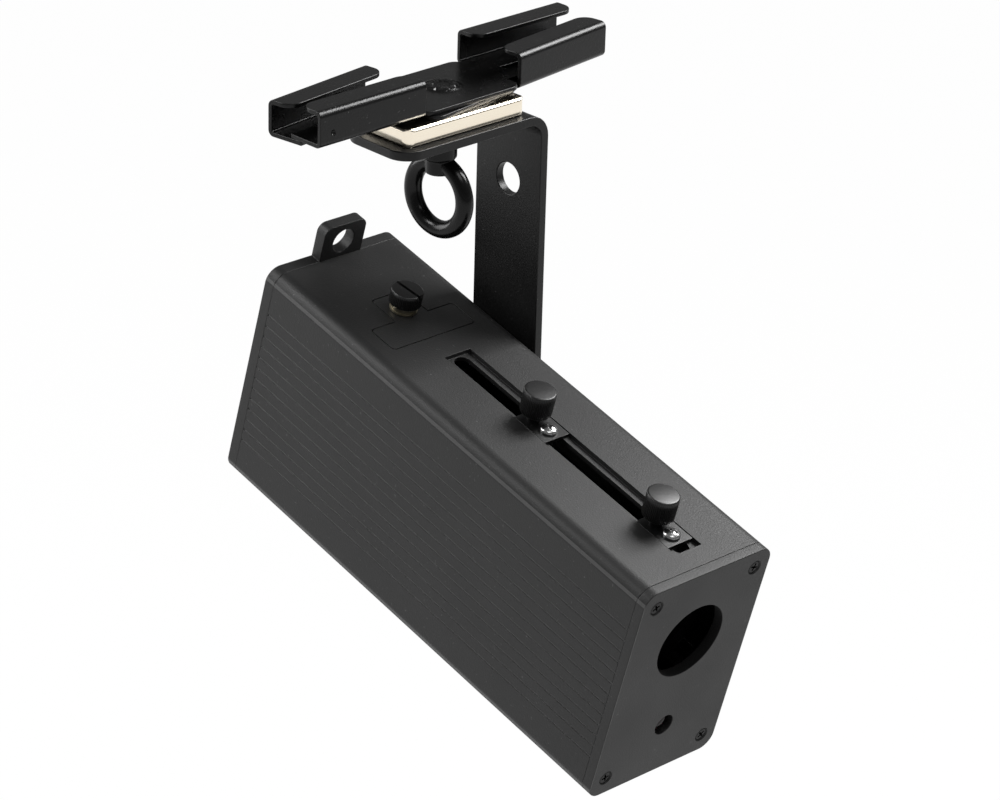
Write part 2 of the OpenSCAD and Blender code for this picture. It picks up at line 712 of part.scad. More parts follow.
module rear_plate() {
    y0 = body_l - rear_plate_t;
    color([0.1, 0.1, 0.105]) in_body() difference() {
        union() {
            along_y(y0, rear_plate_t) rounded_rect(body_w, body_h, body_r);
            along_y(y0, rear_plate_t) translate([0, top_z + tab_h / 2 - body_r])
                rounded_rect(tab_w, tab_h + 2 * body_r, tab_r);
        }
        rod_y(tab_hole_r, y0 - cut, rear_plate_t + 2 * cut, 0, top_z + tab_hole_z);
        translate([0, body_l, 0]) mirror([0, 1, 0]) at_plate_screws() plate_screw_hole(rear_plate_t);
        along_y(y0 - cut, rear_plate_t + 2 * cut) translate([rear_fitting_x, fitting_z])
            square([switch_w + 2 * seat, switch_h + 2 * seat], center = true);
        rod_y(socket_r + seat, y0 - cut, rear_plate_t + 2 * cut, -rear_fitting_x, fitting_z);
        rod_y(indicator_r + seat, y0 - cut, rear_plate_t + 2 * cut, 0, fitting_z);
    }
}

module rear_plate_screws() {
    color([0.08, 0.08, 0.08]) in_body() translate([0, body_l, 0]) mirror([0, 1, 0])
        at_plate_screws() plate_screw();
}

// The remote control's window, set back in the front plate
module ir_window() {
    color([0.12, 0.03, 0.05]) in_body() rod_y(ir_r - seat, ir_recess, plate_t - ir_recess, 0, ir_z);
}

// The receiver on its small board behind the window
module ir_sensor() {
    board = 13;
    color([0.1, 0.3, 0.15]) in_body() union() {
        translate([-board / 2, plate_t + 1.2, ir_z - board / 2]) cube([board, board_t, board]);
        rod_y(2.5, plate_t + seat, 1.3, 0, ir_z);
    }
}

module guide_rods() {
    color([0.75, 0.75, 0.77]) in_body() for (s = [-1, 1])
        rod_y(rod_r, rod_y0, rod_y1 - rod_y0, s * rod_x, rod_z);
}

// The block that guides the gobo holder's blade across the beam
module gobo_gate() {
    color([0.15, 0.15, 0.16]) in_body() difference() {
        intersection() {
            along_y(gate_y, gate_t) inside_outline();
            translate([-in_w / 2, gate_y - cut, gate_bottom]) cube([in_w, gate_t + 2 * cut, body_h]);
        }
        translate([-blade_w / 2 - slide_gap, blade_y - slide_gap, blade_bottom - slide_gap])
            cube([blade_w + 2 * slide_gap, blade_t + 2 * slide_gap, body_h]);
        rod_y(gate_r, gate_y - cut, gate_t + 2 * cut, 0, axis_z);
        for (s = [-1, 1]) rod_y(rod_r + seat, gate_y - cut, cut + rod_y1 - gate_y + seat, s * rod_x, rod_z);
        // Room for the shell's upper screw channels
        for (s = [-1, 1]) rod_y(channel_r + seat, gate_y - cut, gate_t + 2 * cut, s * screw_x, screw_z);
    }
}

module condenser_holder() {
    color([0.2, 0.2, 0.21]) in_body() about_axis(condenser_y) polygon([[gate_r, 0], [condenser_flange_r, 0],
        [condenser_flange_r, 2], [condenser_tube_r, 2], [condenser_tube_r, condenser_l],
        [condenser_r - 0.8, condenser_l], [condenser_r - 0.8, condenser_l - 1],
        [condenser_r + seat, condenser_l - 1], [condenser_r + seat, 2], [gate_r, 2]]);
}

module condenser_lens() {
    ball = (condenser_r * condenser_r + condenser_sag * condenser_sag) / (2 * condenser_sag);
    half = asin(condenser_r / ball);
    back = condenser_l - 1 - seat;
    front = back - condenser_edge;
    color([0.8, 0.88, 0.95, 0.5]) in_body() about_axis(condenser_y) polygon(concat(
        [[0, back], [condenser_r, back], [condenser_r, front]],
        [for (i = [15 : -1 : 0])
            [ball * sin(half * i / 16), front - condenser_sag + ball - ball * cos(half * i / 16)]]));
}

// The lamp's board on the heat sink, and the emitter's dome on the board
module led_board() {
    color([0.9, 0.9, 0.88]) in_body()
        translate([-led_board_w / 2, sink_y - led_board_t, axis_z - led_board_w / 2])
            cube([led_board_w, led_board_t, led_board_w]);
}

module led_emitter() {
    base = 6;
    dome_r = 2.4;
    y0 = sink_y - led_board_t;
    color([0.95, 0.85, 0.4]) in_body() union() {
        translate([-base / 2, y0 - 0.8, axis_z - base / 2]) cube([base, 0.8, base]);
        about_axis(y0 - 0.8 - dome_r * 0.8) polygon(concat([[0, dome_r * 0.8 + eps]],
            [for (i = [0 : 10]) [dome_r * cos(9 * i), dome_r * 0.8 * (1 - sin(9 * i))]]));
    }
}

module heat_sink() {
    fin_pitch = (sink_w - sink_fin_t) / (sink_fin_count - 1);
    color([0.7, 0.7, 0.72]) in_body() difference() {
        intersection() {
            union() {
                translate([-sink_w / 2, sink_y, sink_z0]) cube([sink_w, sink_base_t, body_h]);
                for (i = [0 : sink_fin_count - 1])
                    translate([-sink_w / 2 + i * fin_pitch, sink_y + sink_base_t - eps, sink_z0])
                        cube([sink_fin_t, sink_l - sink_base_t, body_h]);
            }
            along_y(sink_y - cut, sink_l + 2 * cut) inside_outline();
        }
        for (s = [-1, 1]) rod_y(channel_r + seat, sink_y - cut, sink_l + 2 * cut, s * screw_x, screw_z);
    }
}

module battery_tray() {
    z0 = in_bottom + seat;
    corner = channel_r + air;
    color([0.25, 0.25, 0.27]) in_body() difference() {
        union() {
            translate([-in_w / 2 + wall + channel_r + 2, tray_y, z0])
                cube([in_w - 2 * (wall + channel_r + 2), tray_l, tray_floor]);
            for (i = [0 : 2]) translate([-tray_w / 2, tray_y + i * tray_pitch, z0])
                cube([tray_w, tray_wall, tray_top - z0]);
            for (x = [-tray_w / 2, tray_w / 2 - rail_w]) translate([x, tray_y, tray_top - rail_h])
                cube([rail_w, tray_l, rail_h]);
        }
        // Room for the shell's lower screw channels
        for (s = [-1, 1])
            translate([s * (screw_x + channel_r) - channel_r - corner, tray_y - cut, z0 - cut])
                cube([2 * channel_r + 2 * corner, tray_l + 2 * cut, screw_inset_z - wall + corner + cut]);
    }
}

module battery_cells() {
    z = in_bottom + 2 * seat + tray_floor + cell_r;
    color([0.15, 0.35, 0.6]) in_body() for (i = [0, 1], s = [-1, 1])
        rod_y(cell_r, tray_y + i * tray_pitch + tray_wall + 0.3, cell_l, s * cell_x, z);
}

// The driver and charger board, lying on the tray's rails
module driver_board() {
    z0 = tray_top;
    color([0.08, 0.3, 0.15]) in_body() union() {
        translate([-tray_w / 2, board_y, z0]) cube([tray_w, board_l, board_t]);
        for (c = board_chips) translate([c[0] * chip, board_y + c[1] * chip, z0 + board_t - eps])
            cube([c[2] * chip, c[3] * chip, c[4] * chip]);
        for (i = [0 : 3]) translate([(0.6 + 0.5 * i) * chip, board_y + 9 * chip, z0 + board_t - eps])
            cylinder(r = chip / 5, h = chip / 3);
    }
}

// The charging socket: a threaded barrel with a flange, a bore and a centre pin
module dc_socket() {
    depth = 12;
    color([0.05, 0.05, 0.05]) in_body() translate([-rear_fitting_x, body_l, fitting_z]) rotate([90, 0, 0])
    union() {
        difference() {
            union() {
                translate([0, 0, -1.2]) cylinder(r = socket_flange_r, h = 1.2);
                translate([0, 0, -eps]) cylinder(r = socket_r, h = depth);
            }
            translate([0, 0, -1.2 - cut]) cylinder(r = socket_hole_r, h = 1.2 + cut + depth - 2);
        }
        translate([0, 0, -0.2]) cylinder(r = socket_pin_r, h = depth - 1.5);
    }
}

// The power switch's bezel and case, with the pocket that the rocker sits in
module switch_bezel() {
    pocket_w = rocker_w + 2 * air;
    pocket_h = switch_h - 0.9;
    color([0.04, 0.04, 0.04]) in_body() translate([rear_fitting_x, body_l, fitting_z]) difference() {
        union() {
            along_y(0, bezel_t) rounded_rect(bezel_w, bezel_h, 0.8);
            translate([-switch_w / 2, -switch_depth, -switch_h / 2])
                cube([switch_w, switch_depth + eps, switch_h]);
        }
        translate([-pocket_w / 2, -8, -pocket_h / 2]) cube([pocket_w, 8 + bezel_t + cut, pocket_h]);
        translate([-switch_w / 2 - cut, 0, 0]) rotate([0, 90, 0])
            cylinder(r = rocker_pin_r + seat, h = switch_w + 2 * cut);
    }
}

// The rocker, leaning to its off side, on two pins
module power_rocker() {
    rim = bezel_t + 0.4;
    color([0.06, 0.06, 0.06]) in_body() translate([rear_fitting_x, body_l, fitting_z])
    rotate([rocker_lean, 0, 0]) union() {
        difference() {
            translate([-rocker_w / 2, 0, 0]) rotate([0, 90, 0]) cylinder(r = rocker_r, h = rocker_w);
            for (s = [-1, 1]) translate([-rocker_w / 2 - cut, rim, 0]) rotate([s * -rocker_lean, 0, 0])
                translate([0, 0, s > 0 ? -rocker_r * 0.2 : -2 * rocker_r])
                    cube([rocker_w + 2 * cut, rocker_r, 2.2 * rocker_r]);
        }
        translate([-switch_w / 2 + seat, 0, 0]) rotate([0, 90, 0])
            cylinder(r = rocker_pin_r, h = switch_w - 2 * seat);
    }
}

module charge_indicator() {
    color([0.2, 0.7, 0.3]) in_body() translate([0, body_l, fitting_z]) rotate([90, 0, 0]) union() {
        translate([0, 0, -0.5]) cylinder(r = indicator_r, h = rear_plate_t + 2);
        translate([0, 0, rear_plate_t + seat]) cylinder(r = indicator_r + 0.6, h = 2);
    }
}

// The tapped block under the top wall that the holder's thumbscrew enters
module thumbscrew_block() {
    color([0.5, 0.5, 0.52]) in_body() difference() {
        translate([-block_w / 2, block_y, in_top - block_h]) cube([block_w, block_l, block_h]);
        translate([0, thumb_y, in_top - block_h - cut])
            cylinder(r = thumb_thread_r + seat, h = block_h + 2 * cut);
    }
}

// The gobo holder: flush cap with a blade under it that carries the disc
module gobo_cap() {
    color([0.09, 0.09, 0.095]) in_body() difference() {
        union() {
            translate([0, 0, cap_seat_z]) linear_extrude(cap_t) cap_outline();
            translate([-blade_w / 2, blade_y, blade_bottom])
                cube([blade_w, blade_t, cap_seat_z - blade_bottom + eps]);
        }
        // Beam hole, then the deeper seat of the disc and its ring
        rod_y(gate_r - 0.5, blade_y - cut, blade_t + 2 * cut, 0, axis_z);
        rod_y(gobo_r + seat, blade_y - cut, cut + blade_t - 0.6, 0, axis_z);
        translate([0, thumb_y, cap_seat_z - cut])
            cylinder(r = thumb_thread_r + seat, h = cap_t + 2 * cut);
    }
}

// The gobo: a thin disc with a generic ring of round holes that shapes the light
module gobo_disc() {
    disc_t = 1;
    holes = 8;
    color([0.75, 0.75, 0.78]) in_body() difference() {
        rod_y(gobo_r, blade_y + blade_t - 0.6 - seat - disc_t, disc_t, 0, axis_z);
        rod_y(2.4, blade_y - cut, blade_t + 2 * cut, 0, axis_z);
        for (i = [0 : holes - 1]) rod_y(1.4, blade_y - cut, blade_t + 2 * cut,
            6.4 * cos(i * 360 / holes), axis_z + 6.4 * sin(i * 360 / holes));
    }
}

// The ring that keeps the disc in its seat
module gobo_ring() {
    color([0.6, 0.6, 0.62]) in_body() difference() {
        rod_y(gobo_r - seat, blade_y, 0.8, 0, axis_z);
        rod_y(gobo_r - 1.6, blade_y - cut, 0.8 + 2 * cut, 0, axis_z);
    }
}

module thumbscrew_collar() {
    color([0.7, 0.6, 0.4]) in_body() translate([0, thumb_y, top_z]) difference() {
        rotate_extrude() polygon([[0, 0], [collar_r, 0], [collar_r, 1.2], [collar_r - 0.5, 1.5],
            [collar_r - 0.5, collar_h], [0, collar_h]]);
        translate([0, 0, -cut]) cylinder(r = thumb_thread_r + seat, h = collar_h + 2 * cut);
    }
}

// The knurled thumbscrew with its screwdriver slot
module gobo_thumbscrew() {
    z0 = top_z + collar_h + seat;
    color([0.04, 0.04, 0.04]) in_body() translate([0, thumb_y, 0]) union() {
        translate([0, 0, z0]) knurled_head(thumb_r, thumb_h, 0.9);
        translate([0, 0, cap_seat_z - thumb_thread_l])
            cylinder(r = thumb_thread_r, h = z0 - cap_seat_z + thumb_thread_l + eps);
    }
}

// A lens carriage's barrel: tube, foot on the guide rods and the stem up into the slot
module lens_barrel(slider_y) {
    mid = slider_y + slider_l / 2;
    y0 = mid - barrel_l / 2;
    color([0.12, 0.12, 0.13]) in_body() difference() {
        union() {
            rod_y(barrel_r, y0, barrel_l, 0, axis_z);
            translate([-rod_x, mid - foot_l / 2, rod_z - foot_h / 2]) cube([2 * rod_x, foot_l, foot_h]);
            for (s = [-1, 1]) rod_y(foot_h / 2, mid - foot_l / 2, foot_l, s * rod_x, rod_z);
            translate([slot_x, mid, axis_z + lens_r]) linear_extrude(slider_z - axis_z - lens_r)
                stadium(stem_w, stem_l);
        }
        rod_y(lens_seat_r, y0 - cut, barrel_l + 2 * cut, 0, axis_z);
        rod_y(lens_r + seat, y0 + lens_shoulder, barrel_l, 0, axis_z);
        for (s = [-1, 1]) rod_y(rod_r + seat, mid - foot_l, 2 * foot_l, s * rod_x, rod_z);
        translate([slot_x, slider_y + slider_screw_y, slider_z - slider_screw_l])
            cylinder(r = slider_screw_r + seat, h = slider_screw_l + cut);
        translate([slot_x, slider_y + slider_knob_y, slider_z - knob_stud_l])
            cylinder(r = knob_stud_r + seat, h = knob_stud_l + cut);
    }
}

// A biconvex lens against the barrel's shoulder
module lens(slider_y) {
    steps = 12;
    y0 = slider_y + slider_l / 2 - barrel_l / 2 + lens_shoulder + lens_rise;
    rim = [for (i = [0 : steps]) [lens_ball * sin(lens_half * i / steps),
        lens_ball * (cos(lens_half) - cos(lens_half * i / steps))]];
    color([0.75, 0.85, 0.95, 0.5]) in_body() about_axis(y0)
        polygon(concat(rim, [for (i = [steps : -1 : 0]) [rim[i].x, lens_edge - rim[i].y]]));
}

module lens_ring(slider_y) {
    y0 = slider_y + slider_l / 2 - barrel_l / 2 + lens_shoulder + 2 * lens_rise + lens_edge;
    color([0.1, 0.1, 0.1]) in_body() difference() {
        rod_y(lens_r, y0, lens_ring_t, 0, axis_z);
        rod_y(lens_seat_r, y0 - cut, lens_ring_t + 2 * cut, 0, axis_z);
    }
}

// The plate that slides in the slot's upper part, on its ledges
module slider_plate(slider_y) {
    color([0.1, 0.1, 0.1]) in_body() difference() {
        translate([slot_x - slider_w / 2, slider_y, slider_z + seat]) cube([slider_w, slider_l, slider_t]);
        for (hole = [[slider_screw_y, slider_screw_r], [slider_knob_y, knob_stud_r]])
            translate([slot_x, slider_y + hole[0], slider_z - cut])
                cylinder(r = hole[1] + seat, h = slider_t + 2 * cut);
    }
}

module slider_screw(slider_y) {
    z0 = slider_z + seat + slider_t;
    color([0.85, 0.85, 0.86]) in_body() translate([slot_x, slider_y + slider_screw_y, z0]) difference() {
        rotate_extrude() polygon(concat([[0, -slider_screw_l], [slider_screw_r, -slider_screw_l],
            [slider_screw_r, 0], [slider_screw_head_r, 0], [slider_screw_head_r, slider_screw_head_h * 0.5]],
            [for (i = [1 : 8]) [slider_screw_head_r * cos(i * 11.25),
                slider_screw_head_h * (0.5 + 0.5 * sin(i * 11.25))]]));
        translate([0, 0, slider_screw_head_h]) cross_recess(3.1, 1.2);
    }
}

module slider_knob(slider_y) {
    z0 = slider_z + 2 * seat + slider_t;
    color([0.04, 0.04, 0.04]) in_body() translate([slot_x, slider_y + slider_knob_y, z0]) union() {
        translate([0, 0, -knob_stud_l]) cylinder(r = knob_stud_r, h = knob_stud_l + eps);
        cylinder(r = knob_neck_r, h = knob_neck_h + eps);
        translate([0, 0, knob_neck_h]) knurled_head(knob_r, knob_h);
    }
}

module front_lens_barrel() { lens_barrel(front_slider_y); }
module front_lens() { lens(front_slider_y); }
module front_lens_ring() { lens_ring(front_slider_y); }
module front_slider_plate() { slider_plate(front_slider_y); }
module front_slider_screw() { slider_screw(front_slider_y); }
module front_slider_knob() { slider_knob(front_slider_y); }
module rear_lens_barrel() { lens_barrel(rear_slider_y); }
module rear_lens() { lens(rear_slider_y); }
module rear_lens_ring() { lens_ring(rear_slider_y); }
module rear_slider_plate() { slider_plate(rear_slider_y); }
module rear_slider_screw() { slider_screw(rear_slider_y); }
module rear_slider_knob() { slider_knob(rear_slider_y); }

bracket();
magnet();
eye_bolt();
pivot_washer();
tilt_knob();
tilt_stud();
clip_rivet();
clip_lower_arm();
clip_upper_arm();
housing_shell();
front_plate();
front_plate_screws();
rear_plate();
rear_plate_screws();
ir_window();
ir_sensor();
tilt_bush();
guide_rods();
gobo_gate();
condenser_holder();
condenser_lens();
led_board();
led_emitter();
heat_sink();
battery_tray();
battery_cells();
driver_board();
dc_socket();
switch_bezel();
power_rocker();
charge_indicator();
thumbscrew_block();
gobo_cap();
gobo_disc();
gobo_ring();
thumbscrew_collar();
gobo_thumbscrew();
front_lens_barrel();
front_lens();
front_lens_ring();
front_slider_plate();
front_slider_screw();
front_slider_knob();
rear_lens_barrel();
rear_lens();
rear_lens_ring();
rear_slider_plate();
rear_slider_screw();
rear_slider_knob();
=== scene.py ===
import json
import math

import bmesh
import bpy
from mathutils import Matrix, Vector, noise


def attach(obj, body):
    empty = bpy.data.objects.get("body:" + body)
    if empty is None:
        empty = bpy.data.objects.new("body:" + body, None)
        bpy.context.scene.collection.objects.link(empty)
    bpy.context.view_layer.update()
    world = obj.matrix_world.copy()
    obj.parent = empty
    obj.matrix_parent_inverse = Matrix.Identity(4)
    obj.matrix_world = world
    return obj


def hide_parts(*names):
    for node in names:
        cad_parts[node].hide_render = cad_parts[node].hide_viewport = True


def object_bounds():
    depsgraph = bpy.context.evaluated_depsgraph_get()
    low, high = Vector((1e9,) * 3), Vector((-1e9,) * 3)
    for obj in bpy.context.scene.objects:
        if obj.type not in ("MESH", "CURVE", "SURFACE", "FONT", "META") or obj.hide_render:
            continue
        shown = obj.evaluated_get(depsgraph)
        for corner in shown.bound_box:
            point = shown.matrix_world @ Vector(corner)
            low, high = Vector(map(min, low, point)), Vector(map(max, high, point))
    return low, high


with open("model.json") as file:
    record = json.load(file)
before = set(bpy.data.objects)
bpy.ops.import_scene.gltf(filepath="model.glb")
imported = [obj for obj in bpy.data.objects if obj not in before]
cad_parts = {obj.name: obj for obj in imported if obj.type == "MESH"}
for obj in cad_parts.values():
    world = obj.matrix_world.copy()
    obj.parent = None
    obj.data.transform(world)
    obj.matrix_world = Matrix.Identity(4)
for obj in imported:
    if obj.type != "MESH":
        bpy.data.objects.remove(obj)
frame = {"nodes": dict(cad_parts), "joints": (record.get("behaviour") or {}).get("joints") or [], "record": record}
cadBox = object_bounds()
cadNodes = frame["nodes"]
joints = {joint["name"]: joint for joint in frame["joints"]}
bodyOf = {node: body for body, nodes in frame["record"]["behaviour"]["bodies"].items() for node in nodes}
slotOf = {part["node"]: part["material_slot"] for part in frame["record"]["subparts"]}
mm = 0.001
print("frame loaded:", len(cadNodes), "nodes")


# Node helpers

# An empty node group with the sockets that it is given, as (name, kind, default)
def newGroup(name, inputs, outputs):
    group = bpy.data.node_groups.new(name, "ShaderNodeTree")
    for label, kind, value in inputs:
        socket = group.interface.new_socket(name=label, in_out="INPUT", socket_type=kind)
        socket.default_value = value
    for label, kind in outputs:
        group.interface.new_socket(name=label, in_out="OUTPUT", socket_type=kind)
    return group, group.nodes.new("NodeGroupInput"), group.nodes.new("NodeGroupOutput")


def addNode(tree, kind, **values):
    node = tree.nodes.new(kind)
    for key, value in values.items():
        setattr(node, key, value)
    return node


# Links another node's output into a socket, or sets the socket to a plain value
def feed(tree, socket, value):
    if isinstance(value, bpy.types.NodeSocket):
        tree.links.new(value, socket)
    else:
        socket.default_value = value


def mathNode(tree, operation, first, second):
    node = addNode(tree, "ShaderNodeMath", operation=operation)
    feed(tree, node.inputs[0], first)
    feed(tree, node.inputs[1], second)
    return node.outputs[0]


def vectorNode(tree, operation, *values):
    node = addNode(tree, "ShaderNodeVectorMath", operation=operation)
    for socket, value in zip(node.inputs, values):
        feed(tree, socket, value)
    return node


# Noise on object coordinates; stretch squeezes it along the three axes
def noiseNode(tree, scale, detail, stretch=None):
    source = addNode(tree, "ShaderNodeTexCoord").outputs["Object"]
    if stretch is not None:
        mapping = addNode(tree, "ShaderNodeMapping")
        feed(tree, mapping.inputs["Vector"], source)
        feed(tree, mapping.inputs["Scale"], stretch)
        source = mapping.outputs["Vector"]
    pattern = addNode(tree, "ShaderNodeTexNoise")
    feed(tree, pattern.inputs["Vector"], source)
    feed(tree, pattern.inputs["Scale"], scale)
    pattern.inputs["Detail"].default_value = detail
    return pattern.outputs["Fac"]


# Spreads a value from 0 to 1 between two others
def spreadNode(tree, value, low, high):
    node = addNode(tree, "ShaderNodeMapRange")
    feed(tree, node.inputs["Value"], value)
    feed(tree, node.inputs["To Min"], low)
    feed(tree, node.inputs["To Max"], high)
    return node.outputs["Result"]


# Two values added by their shares
def blendNode(tree, first, firstShare, second, secondShare):
    return mathNode(tree, "ADD", mathNode(tree, "MULTIPLY", first, firstShare),
                    mathNode(tree, "MULTIPLY", second, secondShare))


def mixColour(tree, factor, first, second):
    node = addNode(tree, "ShaderNodeMix", data_type="RGBA")
    feed(tree, node.inputs["Factor"], factor)
    feed(tree, node.inputs["A"], first)
    feed(tree, node.inputs["B"], second)
    return node.outputs["Result"]


def bumpNode(tree, height, distance):
    node = addNode(tree, "ShaderNodeBump")
    node.inputs["Strength"].default_value = 1.0
    feed(tree, node.inputs["Height"], height)
    feed(tree, node.inputs["Distance"], distance)
    return node.outputs["Normal"]


# Node groups

skinOutputs = [("Colour", "NodeSocketColor"), ("Roughness", "NodeSocketFloat"), ("Normal", "NodeSocketVector")]

grainSkin = {"grainDetail": 2.0, "grainShare": 0.6,
             "cloudScale": 45.0, "cloudDetail": 4.0, "cloudShare": 0.4,
             "speckScale": 900.0, "speckDetail": 1.0, "speckFrom": -6.2, "speckTo": 2.4,
             "speckShare": 0.25, "speckMost": 0.4, "speckColour": (0.2, 0.2, 0.2, 1)}


# Painted and moulded skins: fine grain, soft clouds of gloss and a few specks of dust
def makeGrainGroup():
    group, given, made = newGroup(
        "Fine grain",
        [("Dark", "NodeSocketColor", (0.01, 0.01, 0.01, 1)), ("Light", "NodeSocketColor", (0.02, 0.02, 0.02, 1)),
         ("Smooth", "NodeSocketFloat", 0.4), ("Rough", "NodeSocketFloat", 0.6),
         ("Grain scale", "NodeSocketFloat", 2200.0), ("Grain depth", "NodeSocketFloat", 0.00004)],
        skinOutputs)
    grain = noiseNode(group, given.outputs["Grain scale"], grainSkin["grainDetail"])
    clouds = noiseNode(group, grainSkin["cloudScale"], grainSkin["cloudDetail"])
    specks = noiseNode(group, grainSkin["speckScale"], grainSkin["speckDetail"])
    specks = mathNode(group, "MAXIMUM", spreadNode(group, specks, grainSkin["speckFrom"], grainSkin["speckTo"]), 0.0)
    specks = mathNode(group, "MULTIPLY", specks, grainSkin["speckShare"])
    tone = blendNode(group, grain, grainSkin["grainShare"], clouds, grainSkin["cloudShare"])
    colour = mixColour(group, tone, given.outputs["Dark"], given.outputs["Light"])
    colour = mixColour(group, mathNode(group, "MINIMUM", specks, grainSkin["speckMost"]),
                       colour, grainSkin["speckColour"])
    rough = spreadNode(group, clouds, given.outputs["Smooth"], given.outputs["Rough"])
    feed(group, made.inputs["Colour"], colour)
    feed(group, made.inputs["Roughness"], rough)
    feed(group, made.inputs["Normal"], bumpNode(group, grain, given.outputs["Grain depth"]))
    return group


brushedSkin = {"lineScale": 400.0, "lineDetail": 5.0, "lineShare": 0.5,
               "cloudScale": 120.0, "cloudDetail": 3.0, "cloudShare": 0.5}


# Ground and turned metal: fine lines along one direction, with uneven polish
def makeBrushedGroup():
    group, given, made = newGroup(
        "Brushed metal",
        [("Dark", "NodeSocketColor", (0.5, 0.5, 0.5, 1)), ("Light", "NodeSocketColor", (0.6, 0.6, 0.6, 1)),
         ("Smooth", "NodeSocketFloat", 0.2), ("Rough", "NodeSocketFloat", 0.35),
         ("Stretch", "NodeSocketVector", (1.0, 1.0, 1.0)), ("Line depth", "NodeSocketFloat", 0.000004)],
        skinOutputs)
    lines = noiseNode(group, brushedSkin["lineScale"], brushedSkin["lineDetail"], given.outputs["Stretch"])
    clouds = noiseNode(group, brushedSkin["cloudScale"], brushedSkin["cloudDetail"])
    polish = blendNode(group, lines, brushedSkin["lineShare"], clouds, brushedSkin["cloudShare"])
    rough = spreadNode(group, polish, given.outputs["Smooth"], given.outputs["Rough"])
    feed(group, made.inputs["Colour"], mixColour(group, lines, given.outputs["Dark"], given.outputs["Light"]))
    feed(group, made.inputs["Roughness"], rough)
    feed(group, made.inputs["Normal"], bumpNode(group, lines, given.outputs["Line depth"]))
    return group


# Masks of the housing: the light's way inside a radius about an axis, and the bottom of the grooves on both sides,
# where a painted highlight goes
def makeHousingGroup():
    group, given, made = newGroup(
        "Housing masks",
        [("Bore point", "NodeSocketVector", (0.0, 0.0, 0.0)), ("Bore axis", "NodeSocketVector", (0.0, 1.0, 0.0)),
         ("Bore radius", "NodeSocketFloat", 0.01), ("Bore length", "NodeSocketFloat", 0.05),
         ("Middle", "NodeSocketFloat", 0.0),
         ("Groove from", "NodeSocketFloat", 0.01), ("Groove to", "NodeSocketFloat", 0.02)],
        [("Bore", "NodeSocketFloat"), ("Groove", "NodeSocketFloat")])
    place = addNode(group, "ShaderNodeTexCoord").outputs["Object"]
    axis = given.outputs["Bore axis"]
    away = vectorNode(group, "SUBTRACT", place, given.outputs["Bore point"]).outputs["Vector"]
    across = vectorNode(group, "CROSS_PRODUCT", away, axis).outputs["Vector"]
    radius = vectorNode(group, "LENGTH", across).outputs["Value"]
    deep = vectorNode(group, "DOT_PRODUCT", away, axis).outputs["Value"]
    bore = mathNode(group, "MULTIPLY", mathNode(group, "LESS_THAN", radius, given.outputs["Bore radius"]),
                    mathNode(group, "LESS_THAN", deep, given.outputs["Bore length"]))
    parts = addNode(group, "ShaderNodeSeparateXYZ")
    feed(group, parts.inputs["Vector"], place)
    side = mathNode(group, "SUBTRACT", parts.outputs["X"], given.outputs["Middle"])
    side = mathNode(group, "ABSOLUTE", side, 0.0)
    # Mask for a painted highlight: points a little inside each side face, which lie in the grooves
    grooveHighlight = mathNode(group, "MULTIPLY", mathNode(group, "GREATER_THAN", side, given.outputs["Groove from"]),
                      mathNode(group, "LESS_THAN", side, given.outputs["Groove to"]))
    feed(group, made.inputs["Bore"], bore)
    feed(group, made.inputs["Groove"], grooveHighlight)
    return group


grainGroup = makeGrainGroup()
brushedGroup = makeBrushedGroup()
housingGroup = makeHousingGroup()


# Materials

# Lowest and highest corner of some points
def cornersOf(points):
    return [Vector([pick(p[axis] for p in points) for axis in range(3)]) for pick in (min, max)]


def pointsOf(node):
    return [vert.co for vert in cadNodes[node].data.vertices]


def grey(value):
    return (value, value, value, 1)


# A Principled material fed by one of the groups; shader sets constant sockets, with _ for a space
def newMaterial(name, group, values, shader):
    material = bpy.data.materials.new(name)
    material.use_nodes = True
    tree = material.node_tree
    surface = tree.nodes["Principled BSDF"]
    skin = addNode(tree, "ShaderNodeGroup", node_tree=group)
    for key, value in values.items():
        skin.inputs[key].default_value = value
    for output, socket in (("Colour", "Base Color"), ("Roughness", "Roughness"), ("Normal", "Normal")):
        feed(tree, surface.inputs[socket], skin.outputs[output])
    for key, value in shader.items():
        surface.inputs[key.replace("_", " ")].default_value = value
    return material


def grainMaterial(name, dark, light, smooth, rough, scale=2200.0, depth=0.00004, **shader):
    values = {"Dark": dark, "Light": light, "Smooth": smooth, "Rough": rough,
              "Grain scale": scale, "Grain depth": depth}
    return newMaterial(name, grainGroup, values, shader)


def brushedMaterial(name, dark, light, smooth, rough, stretch=(1.0, 1.0, 1.0), depth=0.000004):
    values = {"Dark": dark, "Light": light, "Smooth": smooth, "Rough": rough,
              "Stretch": stretch, "Line depth": depth}
    return newMaterial(name, brushedGroup, values, {"Metallic": 1.0})


# The colour for the bottom of the side grooves is a painted highlight, paler than the paint, that stands in for the
# light along them and lifts their shade
housingPaint = {"boreRadius": 0.01308, "boreLength": 0.08, "boreColour": grey(0.0), "boreRough": 0.95,
                "grooveDepth": 0.0004, "grooveSkin": 0.00008, "grooveHighlightColour": grey(0.06)}
